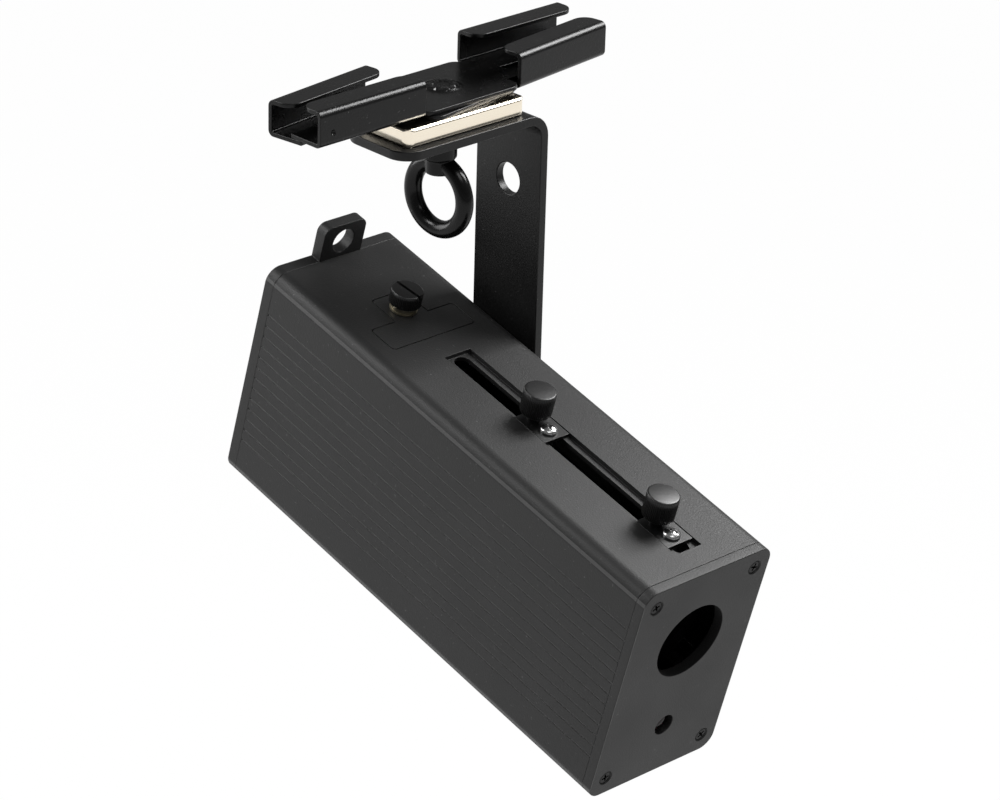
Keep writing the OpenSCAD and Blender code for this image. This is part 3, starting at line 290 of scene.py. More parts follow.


# Housing paint: matt black inside the light's way, and a painted highlight at the bottom of the side grooves, paler
# so that they show as light lines and not as shade
def paintHousing(material):
    shellLow, shellHigh = cornersOf(pointsOf("housing_shell"))
    half = (shellHigh.x - shellLow.x) / 2
    lensLow, lensHigh = cornersOf(pointsOf("front_lens"))
    tree = material.node_tree
    surface = tree.nodes["Principled BSDF"]
    masks = addNode(tree, "ShaderNodeGroup", node_tree=housingGroup)
    masks.inputs["Bore point"].default_value = (lensLow + lensHigh) / 2
    masks.inputs["Bore axis"].default_value = joints["front_lens_slide"]["axis"]
    masks.inputs["Bore radius"].default_value = housingPaint["boreRadius"]
    masks.inputs["Bore length"].default_value = housingPaint["boreLength"]
    masks.inputs["Middle"].default_value = (shellLow.x + shellHigh.x) / 2
    masks.inputs["Groove from"].default_value = half - housingPaint["grooveDepth"]
    masks.inputs["Groove to"].default_value = half - housingPaint["grooveSkin"]
    colour = surface.inputs["Base Color"].links[0].from_socket
    # Painted highlight: the bottom of the side grooves is mixed to a paler grey, against the shade that falls in
    # them
    colour = mixColour(tree, masks.outputs["Groove"], colour, housingPaint["grooveHighlightColour"])
    colour = mixColour(tree, masks.outputs["Bore"], colour, housingPaint["boreColour"])
    feed(tree, surface.inputs["Base Color"], colour)
    rough = surface.inputs["Roughness"].links[0].from_socket
    matt = mathNode(tree, "MULTIPLY", masks.outputs["Bore"], housingPaint["boreRough"])
    feed(tree, surface.inputs["Roughness"], mathNode(tree, "MAXIMUM", rough, matt))


lensCoat = {"tint": (0.8, 0.85, 1.0, 1), "clear": (0.95, 0.97, 1.0, 1), "cloudScale": 90.0, "cloudDetail": 2.0,
            "smooth": 0.0, "rough": 0.03, "ior": 1.52}


# Optical glass with a faint coloured coat
def lensMaterial(name):
    material = bpy.data.materials.new(name)
    material.use_nodes = True
    tree = material.node_tree
    surface = tree.nodes["Principled BSDF"]
    clouds = noiseNode(tree, lensCoat["cloudScale"], lensCoat["cloudDetail"])
    feed(tree, surface.inputs["Base Color"], mixColour(tree, clouds, lensCoat["tint"], lensCoat["clear"]))
    feed(tree, surface.inputs["Roughness"], spreadNode(tree, clouds, lensCoat["smooth"], lensCoat["rough"]))
    surface.inputs["Transmission Weight"].default_value = 1.0
    surface.inputs["IOR"].default_value = lensCoat["ior"]
    return material


# One for each of the record's slots: name, dark and light colour, smooth and rough, then pattern and constants
materials = {
    "powder_black": grainMaterial("Powder coated black", grey(0.005), grey(0.013), 0.42, 0.58, 1900.0, 0.00006,
                                  Specular_IOR_Level=0.36),
    "bracket_black": grainMaterial("Satin black bracket", grey(0.003), grey(0.006), 0.32, 0.46, 1600.0, 0.00005,
                                   Specular_IOR_Level=0.28),
    "magnet_nickel": brushedMaterial("Nickel magnet", (0.86, 0.78, 0.64, 1), (0.95, 0.87, 0.73, 1), 0.1, 0.2,
                                     (0.25, 1.0, 1.0)),
    "eye_black": grainMaterial("Gloss black eye", grey(0.002), grey(0.003), 0.16, 0.26, 900.0, 0.00001,
                               Specular_IOR_Level=0.2),
    "washer_black": grainMaterial("Friction washer", grey(0.015), grey(0.03), 0.6, 0.8),
    "tilt_knob_black": grainMaterial("Tilt knob plastic", grey(0.012), grey(0.02), 0.5, 0.65, 1600.0, 0.00005),
    "bright_steel": brushedMaterial("Bright steel", grey(0.32), grey(0.46), 0.16, 0.28),
    "clip_black": grainMaterial("Satin black clip", grey(0.001), grey(0.002), 0.22, 0.32, 2000.0, 0.00006,
                                Specular_IOR_Level=0.26),
    "screw_black": grainMaterial("Black oxide screw", grey(0.002), grey(0.003), 0.25, 0.36, 2500.0, 0.00002,
                                 Specular_IOR_Level=0.14),
    "ir_window": grainMaterial("Infrared window", (0.003, 0.001, 0.001, 1), (0.004, 0.001, 0.002, 1), 0.05, 0.1,
                               1500.0, 0.000004, Specular_IOR_Level=0.1),
    "circuit_board": grainMaterial("Solder mask", (0.006, 0.05, 0.02, 1), (0.01, 0.09, 0.035, 1), 0.25, 0.4),
    "brass": brushedMaterial("Brass collar", (0.26, 0.235, 0.165, 1), (0.42, 0.38, 0.29, 1), 0.26, 0.4,
                             (1.0, 1.0, 4.0)),
    "inner_aluminium": brushedMaterial("Machined aluminium", grey(0.42), grey(0.55), 0.35, 0.5),
    "lens_glass": lensMaterial("Coated lens"),
    "board_white": grainMaterial("White lamp board", grey(0.7), grey(0.8), 0.4, 0.55),
    "emitter": grainMaterial("Lamp phosphor", (0.75, 0.5, 0.06, 1), (0.85, 0.62, 0.1, 1), 0.1, 0.2),
    "tray_grey": grainMaterial("Moulded tray", grey(0.06), grey(0.09), 0.5, 0.65),
    "cell_wrap": grainMaterial("Cell wrap", (0.01, 0.012, 0.02, 1), (0.014, 0.018, 0.03, 1), 0.22, 0.34),
    "socket_black": grainMaterial("Gloss moulding", grey(0.006), grey(0.01), 0.2, 0.32, 1500.0, 0.00001),
    "rocker_black": grainMaterial("Rocker moulding", grey(0.01), grey(0.016), 0.35, 0.5, 1800.0, 0.00003),
    "indicator_green": grainMaterial("Indicator lens", (0.03, 0.3, 0.06, 1), (0.05, 0.42, 0.1, 1), 0.1, 0.2),
    "gobo_steel": brushedMaterial("Etched steel", grey(0.5), grey(0.62), 0.2, 0.3, (4.0, 1.0, 1.0)),
    "barrel_black": grainMaterial("Anodised barrel", grey(0.002), grey(0.004), 0.4, 0.55, Specular_IOR_Level=0.2),
    "slider_black": grainMaterial("Slider plate", grey(0.002), grey(0.004), 0.3, 0.42, 2400.0, 0.00002),
    "knob_black": grainMaterial("Knurled knob", grey(0.002), grey(0.003), 0.26, 0.38, 2600.0, 0.00002,
                                Specular_IOR_Level=0.46),
}
paintHousing(materials["powder_black"])
for nodeName, nodeObject in cadNodes.items():
    nodeObject.data.materials.clear()
    nodeObject.data.materials.append(materials[slotOf[nodeName]])
print("materials made:", len(materials))


# Mesh helpers

# A matrix from local millimetres to the model's metres: z along up, y as near to along as it can be
def placeAt(origin, up, along):
    z = Vector(up).normalized()
    y = (Vector(along) - Vector(along).dot(z) * z).normalized()
    turn = Matrix((y.cross(z), y, z)).transposed().to_4x4()
    return Matrix.Translation(Vector(origin)) @ turn @ Matrix.Scale(mm, 4)


# The same placement moved across to a point and turned about its z axis
def movedTo(place, point, degrees=0.0):
    return place @ Matrix.Translation((point.x, point.y, 0)) @ Matrix.Rotation(math.radians(degrees), 4, "Z")


# A node's points in a placement's own millimetres
def pointsIn(place, node):
    back = place.inverted()
    return [back @ point for point in pointsOf(node)]


# Makes an object of a mesh that already lies in place, rides it on its node's body and hides the node
def addPiece(name, bm, node, sharpAngle):
    mesh = bpy.data.meshes.new(name)
    bm.to_mesh(mesh)
    bm.free()
    mesh.materials.append(materials[slotOf[node]])
    mesh.shade_smooth()
    mesh.set_sharp_from_angle(angle=math.radians(sharpAngle))
    piece = bpy.data.objects.new(name, mesh)
    bpy.context.scene.collection.objects.link(piece)
    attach(piece, bodyOf[node])
    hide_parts(node)
    return piece


merging = {"distance": 0.002, "flatAngle": 0.4}      # millimetres and degrees


# The node's own mesh, merged, with flat faces made whole
def mergedCopy(node):
    bm = bmesh.new()
    bm.from_mesh(cadNodes[node].data)
    bmesh.ops.remove_doubles(bm, verts=bm.verts, dist=merging["distance"] * mm)
    bmesh.ops.dissolve_limit(bm, angle_limit=math.radians(merging["flatAngle"]), use_dissolve_boundaries=False,
                             verts=bm.verts, edges=bm.edges)
    return bm


edgeAngle = 32.0         # an edge that turns more than this is rounded
noneSharp = 180.0        # an angle that leaves every edge smooth


# A piece with every sharp edge rounded, made from a mesh or from the node's copy
def addRoundedPiece(name, node, width, segments, bm=None):
    piece = addPiece(name, bm or mergedCopy(node), node, noneSharp)
    bevel = piece.modifiers.new("Rounded edges", "BEVEL")
    bevel.width = width * mm
    bevel.segments = segments
    bevel.limit_method = "ANGLE"
    bevel.angle_limit = math.radians(edgeAngle)
    bevel.use_clamp_overlap = False
    bevel.loop_slide = True
    even = piece.modifiers.new("Even shading", "WEIGHTED_NORMAL")
    even.keep_sharp = True


# Piece: node, width of the rounding in millimetres, segments
roundedPieces = {
    "bracketStrip": ("bracket", 0.35, 3),
    "magnetBlock": ("magnet", 0.3, 3),
    "lowerArm": ("clip_lower_arm", 0.25, 2),
    "housingTube": ("housing_shell", 0.12, 2),
    "frontCover": ("front_plate", 0.25, 2),
    "rearCover": ("rear_plate", 0.25, 2),
    "tiltKnob": ("tilt_knob", 0.6, 3),
    "frontSliderPlate": ("front_slider_plate", 0.12, 2),
    "rearSliderPlate": ("rear_slider_plate", 0.12, 2),
    "switchBezel": ("switch_bezel", 0.2, 2),
    "powerRocker": ("power_rocker", 0.25, 2),
    "chargingSocket": ("dc_socket", 0.15, 2),
}
for pieceName, (nodeName, width, segments) in roundedPieces.items():
    addRoundedPiece(pieceName, nodeName, width, segments)
print("rounded pieces:", len(roundedPieces))

pivot = Vector(joints["housing_tilt"]["pos_m"])
along = Vector(joints["front_lens_slide"]["axis"])
up = Vector(joints["gobo_lift"]["axis"])
upright = placeAt((0, 0, 0), (0, 0, 1), (0, 1, 0))


# The gobo holder's cap, with its walls set in so that the seam around it shows
cap = {"seam": 0.16, "wallTilt": 0.3, "leastShare": 0.5, "rounding": 0.08, "segments": 1}


def makeCap():
    bm = mergedCopy("gobo_cap")
    bm.normal_update()
    moves = []
    for vert in bm.verts:
        walls = [face.normal for face in vert.link_faces if abs(face.normal.dot(up)) < cap["wallTilt"]]
        if walls:
            outward = sum(walls, Vector()).normalized()
            moves.append((vert, -outward * cap["seam"] * mm / max(outward.dot(walls[0]), cap["leastShare"])))
    for vert, move in moves:
        vert.co += move
    addRoundedPiece("goboCap", "gobo_cap", cap["rounding"], cap["segments"], bm)


makeCap()


# Turned and cut shapes

weld = 0.0001            # millimetres, far below the smallest step of any outline


# Spins a profile once round a placement's z axis and puts it in place; both are in the placement's millimetres
def spinInto(bm, place, profile, segments):
    others = set(bm.verts).difference(profile)
    bmesh.ops.spin(bm, geom=profile, cent=(0, 0, 0), axis=(0, 0, 1), angle=math.tau, steps=segments, use_merge=True)
    bmesh.ops.remove_doubles(bm, verts=[vert for vert in bm.verts if vert not in others], dist=weld)
    bmesh.ops.transform(bm, matrix=place, verts=[vert for vert in bm.verts if vert not in others])


# Turns an outline of (radius, height) pairs, as on a lathe
def latheInto(bm, place, outline, segments):
    verts = [bm.verts.new((radius, 0, height)) for radius, height in outline]
    edges = [bm.edges.new(ends) for ends in zip(verts, verts[1:])]
    spinInto(bm, place, verts + edges, segments)


# A box between two heights whose cross-section goes from one size to another
def taperedBoxInto(bm, place, lower, upper, low, high):
    middle = (low + high) / 2
    block = Matrix.Translation((0, 0, middle)) @ Matrix.Diagonal((1, 1, high - low, 1))
    verts = bmesh.ops.create_cube(bm, size=1.0, matrix=block)["verts"]
    bmesh.ops.scale(bm, vec=(*lower, 1), verts=[vert for vert in verts if vert.co.z < middle])
    bmesh.ops.scale(bm, vec=(*upper, 1), verts=[vert for vert in verts if vert.co.z > middle])
    bmesh.ops.transform(bm, matrix=place, verts=verts)


def closed(bm):
    bmesh.ops.recalc_face_normals(bm, faces=bm.faces)
    return bm


# Cuts one mesh out of another and removes the helpers
def cutAway(bm, tool):
    helpers = []
    for part in (bm, tool):
        mesh = bpy.data.meshes.new("cutting")
        part.to_mesh(mesh)
        part.free()
        helper = bpy.data.objects.new("cutting", mesh)
        bpy.context.scene.collection.objects.link(helper)
        helpers.append(helper)
    cut = helpers[0].modifiers.new("Cut", "BOOLEAN")
    cut.operation = "DIFFERENCE"
    cut.solver = "EXACT"
    cut.use_self = True
    cut.object = helpers[1]
    done = bpy.data.meshes.new_from_object(helpers[0].evaluated_get(bpy.context.evaluated_depsgraph_get()))
    result = bmesh.new()
    result.from_mesh(done)
    bpy.data.meshes.remove(done)
    for helper in helpers:
        mesh = helper.data
        bpy.data.objects.remove(helper)
        bpy.data.meshes.remove(mesh)
    return result


# Shares of a cross's size and width at its foot and at its mouth, and how far the tool stands above the head
crossShape = {"lower": (0.42, 0.6), "upper": (1.12, 1.1), "above": 0.2}


# Turns a screw, cuts the tapered cross of a screwdriver into its head and puts it in place
def crossedScrew(place, outline, top, values):
    bm = bmesh.new()
    latheInto(bm, Matrix(), outline, values["segments"])
    lower, upper = [(values["cross"] * size, values["crossWidth"] * width)
                    for size, width in (crossShape["lower"], crossShape["upper"])]
    for first, second in ((lower, upper), (lower[::-1], upper[::-1])):
        tool = bmesh.new()
        taperedBoxInto(tool, Matrix(), first, second, top - values["crossDepth"], top + crossShape["above"])
        bm = cutAway(closed(bm), closed(tool))
    bmesh.ops.dissolve_degenerate(bm, dist=weld, edges=bm.edges)
    bmesh.ops.triangulate(bm, faces=bm.faces)
    bmesh.ops.transform(bm, matrix=place, verts=bm.verts)
    return bm


# The upper arm, with the small round dimple in its near wall
dimple = {"place": (-0.05165, -0.00964, 0.00563), "radius": 0.85, "depth": 0.7, "above": 0.6,
          "bowl": ((0, 1), (0.45, 0.85), (0.8, 0.5), (1, 0)), "segments": 32}
armEdge = {"rounding": 0.25, "segments": 2}


def makeUpperArm():
    outline = [(dimple["radius"] * across, -dimple["depth"] * deep) for across, deep in dimple["bowl"]]
    outline += [(dimple["radius"], dimple["above"]), (0, dimple["above"])]
    tool = bmesh.new()
    latheInto(tool, placeAt(dimple["place"], (0, -1, 0), (0, 0, 1)), outline, dimple["segments"])
    arm = cutAway(mergedCopy("clip_upper_arm"), closed(tool))
    addRoundedPiece("upperArm", "clip_upper_arm", armEdge["rounding"], armEdge["segments"], arm)


makeUpperArm()
print("clip and cap made")


# The lifting eye: ring, neck, collar and shank grown into one forged body
eyeBolt = {"outer": 13.7, "bar": 2.8, "turn": 4.0, "ringSteps": 128, "barSteps": 40, "stemSteps": 72,
           "neck": 4.4, "neckEdge": 0.4, "neckInRing": 0.6, "collar": 5.4, "collarHeight": 8.0, "collarEdge": 0.3,
           "collarSlope": 0.5, "shank": 3.0, "shankInCollar": 1.0, "shankSteps": 48, "flangeGap": 2.95,
           "voxel": 0.2, "relax": 5, "relaxShare": 0.5}


def makeEyeBolt():
    low, high = cornersOf(pointsIn(upright, "eye_bolt"))
    top = high.z - eyeBolt["flangeGap"]
    centre = Vector(((low.x + high.x) / 2, (low.y + high.y) / 2, low.z + eyeBolt["outer"]))
    turn = math.radians(eyeBolt["turn"])
    bm = bmesh.new()
    outOfAxis = Matrix.Translation((eyeBolt["outer"] - eyeBolt["bar"], 0, 0)) @ Matrix.Rotation(math.pi / 2, 4, "X")
    bmesh.ops.create_circle(bm, segments=eyeBolt["barSteps"], radius=eyeBolt["bar"], matrix=outOfAxis)
    ring = placeAt(centre * mm, (math.cos(turn), math.sin(turn), 0), (0, 0, 1))
    spinInto(bm, ring, list(bm.verts) + list(bm.edges), eyeBolt["ringSteps"])
    neckLow = centre.z + eyeBolt["outer"] - 2 * eyeBolt["bar"] - eyeBolt["neckInRing"]
    collarLow = top - eyeBolt["collarHeight"]
    shankLow = top - eyeBolt["shankInCollar"]
    stem = movedTo(upright, centre)
    neck, neckEdge, collar, collarEdge = (eyeBolt[key] for key in ("neck", "neckEdge", "collar", "collarEdge"))
    latheInto(bm, stem, [(0, neckLow), (neck - neckEdge, neckLow), (neck, neckLow + neckEdge),
                         (neck, collarLow - eyeBolt["collarSlope"]), (collar - collarEdge, collarLow),
                         (collar, collarLow + collarEdge), (collar, top), (0, top)], eyeBolt["stemSteps"])
    latheInto(bm, stem, [(0, shankLow), (eyeBolt["shank"], shankLow), (eyeBolt["shank"], high.z), (0, high.z)],
              eyeBolt["shankSteps"])
    piece = addPiece("liftingEye", closed(bm), "eye_bolt", noneSharp)
    grow = piece.modifiers.new("Forged as one", "REMESH")
    grow.mode = "VOXEL"
    grow.voxel_size = eyeBolt["voxel"] * mm
    grow.use_smooth_shade = True
    relax = piece.modifiers.new("Relaxed", "SMOOTH")
    relax.factor = eyeBolt["relaxShare"]
    relax.iterations = eyeBolt["relax"]


makeEyeBolt()
print("eye bolt made")


# What the three knurled heads share
knurl = {"count": 54, "depth": 0.16, "samples": 5, "sharpness": 1.5, "bevel": 0.4, "shoulder": 0.12,
         "shoulderShare": 0.4, "lowShare": 0.7, "highShare": 0.6, "topStep": 0.04, "topLand": 0.2, "rows": 4,
         "close": 0.01, "sharpAngle": 38.0}


# The outline of a head between two heights, bevelled, with a flat face on top
def headOutline(radius, low, high):
    bevel, shoulder, rows = knurl["bevel"], knurl["shoulder"], knurl["rows"]
    side = [(radius - bevel, low), (radius - shoulder, low + bevel * knurl["lowShare"]), (radius, low + bevel)]
    side += [(radius, low + bevel + (high - low - 2 * bevel) * row / rows) for row in range(1, rows)]
    return side + [(radius, high - bevel), (radius - shoulder, high - bevel * knurl["highShare"]),
                   (radius - bevel, high - knurl["topStep"]), (radius - bevel - knurl["topLand"], high), (0, high)]


# Turns an outline and presses straight knurls into its widest part; they fade out on the shoulders
def knurledHead(place, outline, radius):
    bm = bmesh.new()
    latheInto(bm, place, outline, knurl["count"] * knurl["samples"])
    back = place.inverted()
    for vert in bm.verts:
        point = back @ vert.co
        short = abs(math.hypot(point.x, point.y) - radius)
        if short < knurl["shoulder"] + knurl["close"]:
            share = 1.0 if short < knurl["close"] else knurl["shoulderShare"]
            wave = abs(math.sin(knurl["count"] * math.atan2(point.y, point.x) / 2))
            press = knurl["depth"] * share * (1 - wave) ** knurl["sharpness"]
            across = Vector((point.x, point.y, 0)).normalized()
            vert.co = place @ (point - across * press)
    return closed(bm)


sliderKnob = {"headHeight": 8.2, "neck": 2.4, "neckEdge": 0.15, "flare": 0.3, "stud": 1.5, "seat": -0.2}


def makeSliderKnob(name, node, joint):
    place = placeAt(joints[joint]["pos_m"], up, along)
    low, high = cornersOf(pointsIn(place, node))
    headLow = high.z - sliderKnob["headHeight"]
    stud, seat, neck = sliderKnob["stud"], sliderKnob["seat"], sliderKnob["neck"]
    edge, flare = sliderKnob["neckEdge"], sliderKnob["flare"]
    outline = [(0, low.z), (stud, low.z), (stud, seat), (neck - edge, seat), (neck, seat + edge),
               (neck, headLow - flare), (neck + flare, headLow)]
    outline += headOutline(high.x, headLow, high.z)
    addPiece(name, knurledHead(place, outline, high.x), node, knurl["sharpAngle"])


makeSliderKnob("frontSliderKnob", "front_slider_knob", "front_knob_turn")
makeSliderKnob("rearSliderKnob", "rear_slider_knob", "rear_knob_turn")


thumbscrew = {"headHeight": 5.2, "thread": 2.0, "threadEdge": 0.3, "slotWidth": 1.0, "slotLow": 0.92,
              "slotHigh": 1.05, "slotDepth": 1.3, "slotLength": 3.0, "slotAbove": 0.1, "slotTurn": 97.0}


def makeThumbscrew():
    place = placeAt(joints["gobo_screw_turn"]["pos_m"], up, along)
    low, high = cornersOf(pointsIn(place, "gobo_thumbscrew"))
    headLow = high.z - thumbscrew["headHeight"]
    thread, edge = thumbscrew["thread"], thumbscrew["threadEdge"]
    outline = [(0, low.z), (thread - edge, low.z), (thread, low.z + edge), (thread, headLow)]
    outline += headOutline(high.x, headLow, high.z)
    length, width = thumbscrew["slotLength"] * high.x, thumbscrew["slotWidth"]
    slot = bmesh.new()
    taperedBoxInto(slot, movedTo(place, Vector(), thumbscrew["slotTurn"]),
                   (length, width * thumbscrew["slotLow"]), (length, width * thumbscrew["slotHigh"]),
                   high.z - thumbscrew["slotDepth"], high.z + thumbscrew["slotAbove"])
    head = cutAway(knurledHead(place, outline, high.x), closed(slot))
    addPiece("goboThumbscrew", head, "gobo_thumbscrew", knurl["sharpAngle"])


makeThumbscrew()


# The stepped collar under the thumbscrew, with a lip at its foot and a waist; the shares are of its height
collar = {"bore": 2.1, "footEdge": 0.25, "waist": 0.35, "upper": 0.05, "topEdge": 0.3,
          "footTo": 0.28, "waistFrom": 0.34, "waistTo": 0.62, "upperFrom": 0.68, "segments": 96, "sharpAngle": 30.0}


def makeCollar():
    place = placeAt(joints["gobo_screw_turn"]["pos_m"], up, along)
    low, high = cornersOf(pointsIn(place, "thumbscrew_collar"))
    r, bottom, top, bore = high.x, low.z, high.z, collar["bore"]
    footTo, waistFrom, waistTo, upperFrom = (bottom + (top - bottom) * collar[key]
                                             for key in ("footTo", "waistFrom", "waistTo", "upperFrom"))
    waist, upper = r - collar["waist"], r - collar["upper"]
    outline = [(bore, bottom), (r - collar["footEdge"], bottom), (r, bottom + collar["footEdge"]), (r, footTo),
               (waist, waistFrom), (waist, waistTo), (upper, upperFrom), (upper, top - collar["topEdge"]),
               (upper - collar["topEdge"], top), (bore, top), (bore, bottom)]
    bm = bmesh.new()
    latheInto(bm, place, outline, collar["segments"])
    addPiece("thumbscrewCollar", closed(bm), "thumbscrew_collar", collar["sharpAngle"])


makeCollar()
print("knobs and thumbscrew made")


# Screws: pan heads on the sliders and sunk heads in the plates
panHead = {"radius": 2.8, "height": 2.0, "shank": 1.5, "edge": 0.12, "segments": 64, "sharpAngle": 32.0,
           "cross": 3.3, "crossWidth": 0.8, "crossDepth": 1.5,
           "turn": {"front_slider_screw": 28.0, "rear_slider_screw": 62.0},
           "dome": ((1.0, 0.45), (0.97, 0.85), (0.9, 1.15), (0.78, 1.4), (0.6, 1.58), (0.35, 1.98), (0.0, 2.0))}


def makePanScrew(name, node):
    base = placeAt(pivot, up, along)
    low, high = cornersOf(pointsIn(base, node))
    place = movedTo(base, (low + high) / 2, panHead["turn"][node])
    r, shank, edge, seat = panHead["radius"], panHead["shank"], panHead["edge"], high.z - panHead["height"]
    outline = [(0, low.z), (shank, low.z), (shank, seat), (r - edge, seat), (r, seat + edge)]
    outline += [(r * across, seat + height) for across, height in panHead["dome"]]
    addPiece(name, crossedScrew(place, outline, high.z, panHead), node, panHead["sharpAngle"])


makePanScrew("frontSliderScrew", "front_slider_screw")
makePanScrew("rearSliderScrew", "rear_slider_screw")


sunkHead = {"radius": 2.1, "depth": 1.4, "land": 0.15, "edge": 0.25, "edgeStep": 0.03, "rim": 0.08,
            "shank": 1.25, "tip": 0.2, "tipHeight": 0.3, "cross": 2.7, "crossWidth": 0.66, "crossDepth": 1.2,
            "sunk": 0.28, "segments": 48, "sharpAngle": 30.0,
            "turns": {(-1, -1): 12.0, (1, -1): 40.0, (1, 1): 71.0, (-1, 1): 25.0}}


def makePlateScrews(name, node, outward):
    base = placeAt(pivot, outward, up)
    points = pointsIn(base, node)
    middle = sum(cornersOf(points), Vector()) / 2
    r, shank = sunkHead["radius"], sunkHead["shank"]
    joined = bmesh.new()
    for (sideX, sideY), turn in sunkHead["turns"].items():
        own = [p for p in points if (p.x - middle.x) * sideX > 0 and (p.y - middle.y) * sideY > 0]
        low, high = cornersOf(own)
        place = movedTo(base, (low + high) / 2, turn)
        top = high.z - sunkHead["sunk"]
        outline = [(0, low.z), (shank - sunkHead["tip"], low.z), (shank, low.z + sunkHead["tipHeight"]),
                   (shank, top - sunkHead["depth"]), (r, top - sunkHead["land"]),
                   (r - sunkHead["rim"], top - sunkHead["edgeStep"]), (r - sunkHead["edge"], top), (0, top)]
        screw = crossedScrew(place, outline, top, sunkHead)
        mesh = bpy.data.meshes.new("joining")
        screw.to_mesh(mesh)
        screw.free()
        joined.from_mesh(mesh)
        bpy.data.meshes.remove(mesh)
    addPiece(name, joined, node, sunkHead["sharpAngle"])


makePlateScrews("frontPlateScrews", "front_plate_screws", -along)
makePlateScrews("rearPlateScrews", "rear_plate_screws", along)
print("screws made")


# The staked rivet: a low rough ring round a struck middle, with four punch marks
rivet = {"shank": 3.0, "head": 6.6, "headHeight": 0.9, "rise": 0.84, "slope": 2.2, "crest": 3.6, "fall": 1.4,
         "dip": 0.4, "step": 0.24, "rough": 0.2, "roughRise": 0.5, "coarse": 1.6, "fine": 3.4, "fineShare": 0.7,
         "still": 0.05, "sink": 0.2, "punch": 0.9, "punchAt": 4.7, "punchDepth": 0.7, "punchTurn": 28.0,
         "segments": 120, "sharpAngle": 60.0}


def eased(share):
    share = min(max(share, 0.0), 1.0)
    return share * share * (3 - 2 * share)


def makeRivet():
    place = placeAt(joints["clip_pan"]["pos_m"], (0, 0, 1), (0, 1, 0))
    low, high = cornersOf(pointsIn(place, "clip_rivet"))
    seat = high.z - rivet["headHeight"]
    outline = [(0, low.z), (rivet["shank"], low.z), (rivet["shank"], seat), (rivet["head"], seat)]
    radius = rivet["head"] - rivet["step"]
    while radius > rivet["step"]:
        height = (rivet["rise"] * eased((rivet["head"] - radius) / rivet["slope"])
                  - rivet["dip"] * eased((rivet["crest"] - radius) / rivet["fall"]))
        outline.append((radius, seat + height))
        radius -= rivet["step"]
    outline.append((0, seat + rivet["rise"] - rivet["dip"]))
    bm = bmesh.new()
    latheInto(bm, place, outline, rivet["segments"])
    closed(bm)
    angles = [math.radians(rivet["punchTurn"] + 90 * step) for step in range(4)]
    punches = [Vector((rivet["punchAt"] * math.cos(angle), rivet["punchAt"] * math.sin(angle))) for angle in angles]
    back = place.inverted()
    for vert in bm.verts:
        point = back @ vert.co
        if point.z < seat + rivet["still"]:
            continue
        waves = noise.noise(point * rivet["coarse"]) + rivet["fineShare"] * noise.noise(point * rivet["fine"])
        lift = rivet["rough"] * waves * eased((point.z - seat) / rivet["roughRise"])
        for punch in punches:
            away = (point.xy - punch).length / rivet["punch"]
            if away < 1:
                lift -= rivet["punchDepth"] * (1 - away ** 2)
        point.z = max(min(point.z + lift, high.z), seat - rivet["sink"])
        vert.co = place @ point
    addPiece("clipRivet", bm, "clip_rivet", rivet["sharpAngle"])


makeRivet()


# The remote's window: a small dark dome set back in its hole
window = {"domeHeight": 0.9, "domeShare": 0.82, "domeSteps": 8, "segments": 64, "sharpAngle": 40.0}


def makeWindow():
    base = placeAt(pivot, -along, up)
    low, high = cornersOf(pointsIn(base, "ir_window"))
    r, rim = (high.x - low.x) / 2, high.z - window["domeHeight"]
    outline = [(0, low.z), (r, low.z), (r, rim)]
    for step in range(1, window["domeSteps"]):
        angle = math.pi / 2 * step / window["domeSteps"]
        outline.append((r * window["domeShare"] * math.cos(angle), rim + window["domeHeight"] * math.sin(angle)))
    bm = bmesh.new()
    latheInto(bm, movedTo(base, (low + high) / 2), outline + [(0, high.z)], window["segments"])
    addPiece("remoteWindow", closed(bm), "ir_window", window["sharpAngle"])


makeWindow()
print("rivet and window made")


# Stage, camera and light

studio = {
    "floorDrop": 0.16,           # below the object's lowest point
    "floorSize": 40.0,
    "floorColour": (0.86, 0.86, 0.86, 1),
    "floorRough": 0.9,
    "floorSeen": 0.985,          # the paper's own white where the camera sees it
    "floorFadeFrom": 1.2,        # the gloss sees the paper dim away from the object
    "floorFadeTo": 2.4,
    "worldLight": 0.2,
    "darkSky": 0.06,             # what the gloss sees well above the horizon
    "skyFrom": -0.02,
    "skyTo": 0.06,
}


# White to the camera and in reflections, and plain paper to the lamps; share dims what the gloss sees
def backgroundFactor(tree, share):
    path = addNode(tree, "ShaderNodeLightPath")
    gloss = mathNode(tree, "MULTIPLY", path.outputs["Is Glossy Ray"], share)
    seen = mathNode(tree, "MAXIMUM", path.outputs["Is Camera Ray"], gloss)
    return mathNode(tree, "MAXIMUM", seen, path.outputs["Is Transmission Ray"])


# One up to the first value, and down to the dark sky's share past the second
def fadeNode(tree, value, start, end):
    fade = addNode(tree, "ShaderNodeMapRange", interpolation_type="SMOOTHSTEP")
    feed(tree, fade.inputs["Value"], value)
    for label, number in (("From Min", start), ("From Max", end), ("To Min", 1.0), ("To Max", studio["darkSky"])):
        fade.inputs[label].default_value = number
    return fade.outputs["Result"]


# Puts a mix of two shaders on a tree's output
def showMix(tree, factor, first, second, output):
    blend = addNode(tree, "ShaderNodeMixShader")
    feed(tree, blend.inputs["Fac"], factor)
    feed(tree, blend.inputs[1], first)
    feed(tree, blend.inputs[2], second)
    feed(tree, tree.nodes[output].inputs["Surface"], blend.outputs["Shader"])


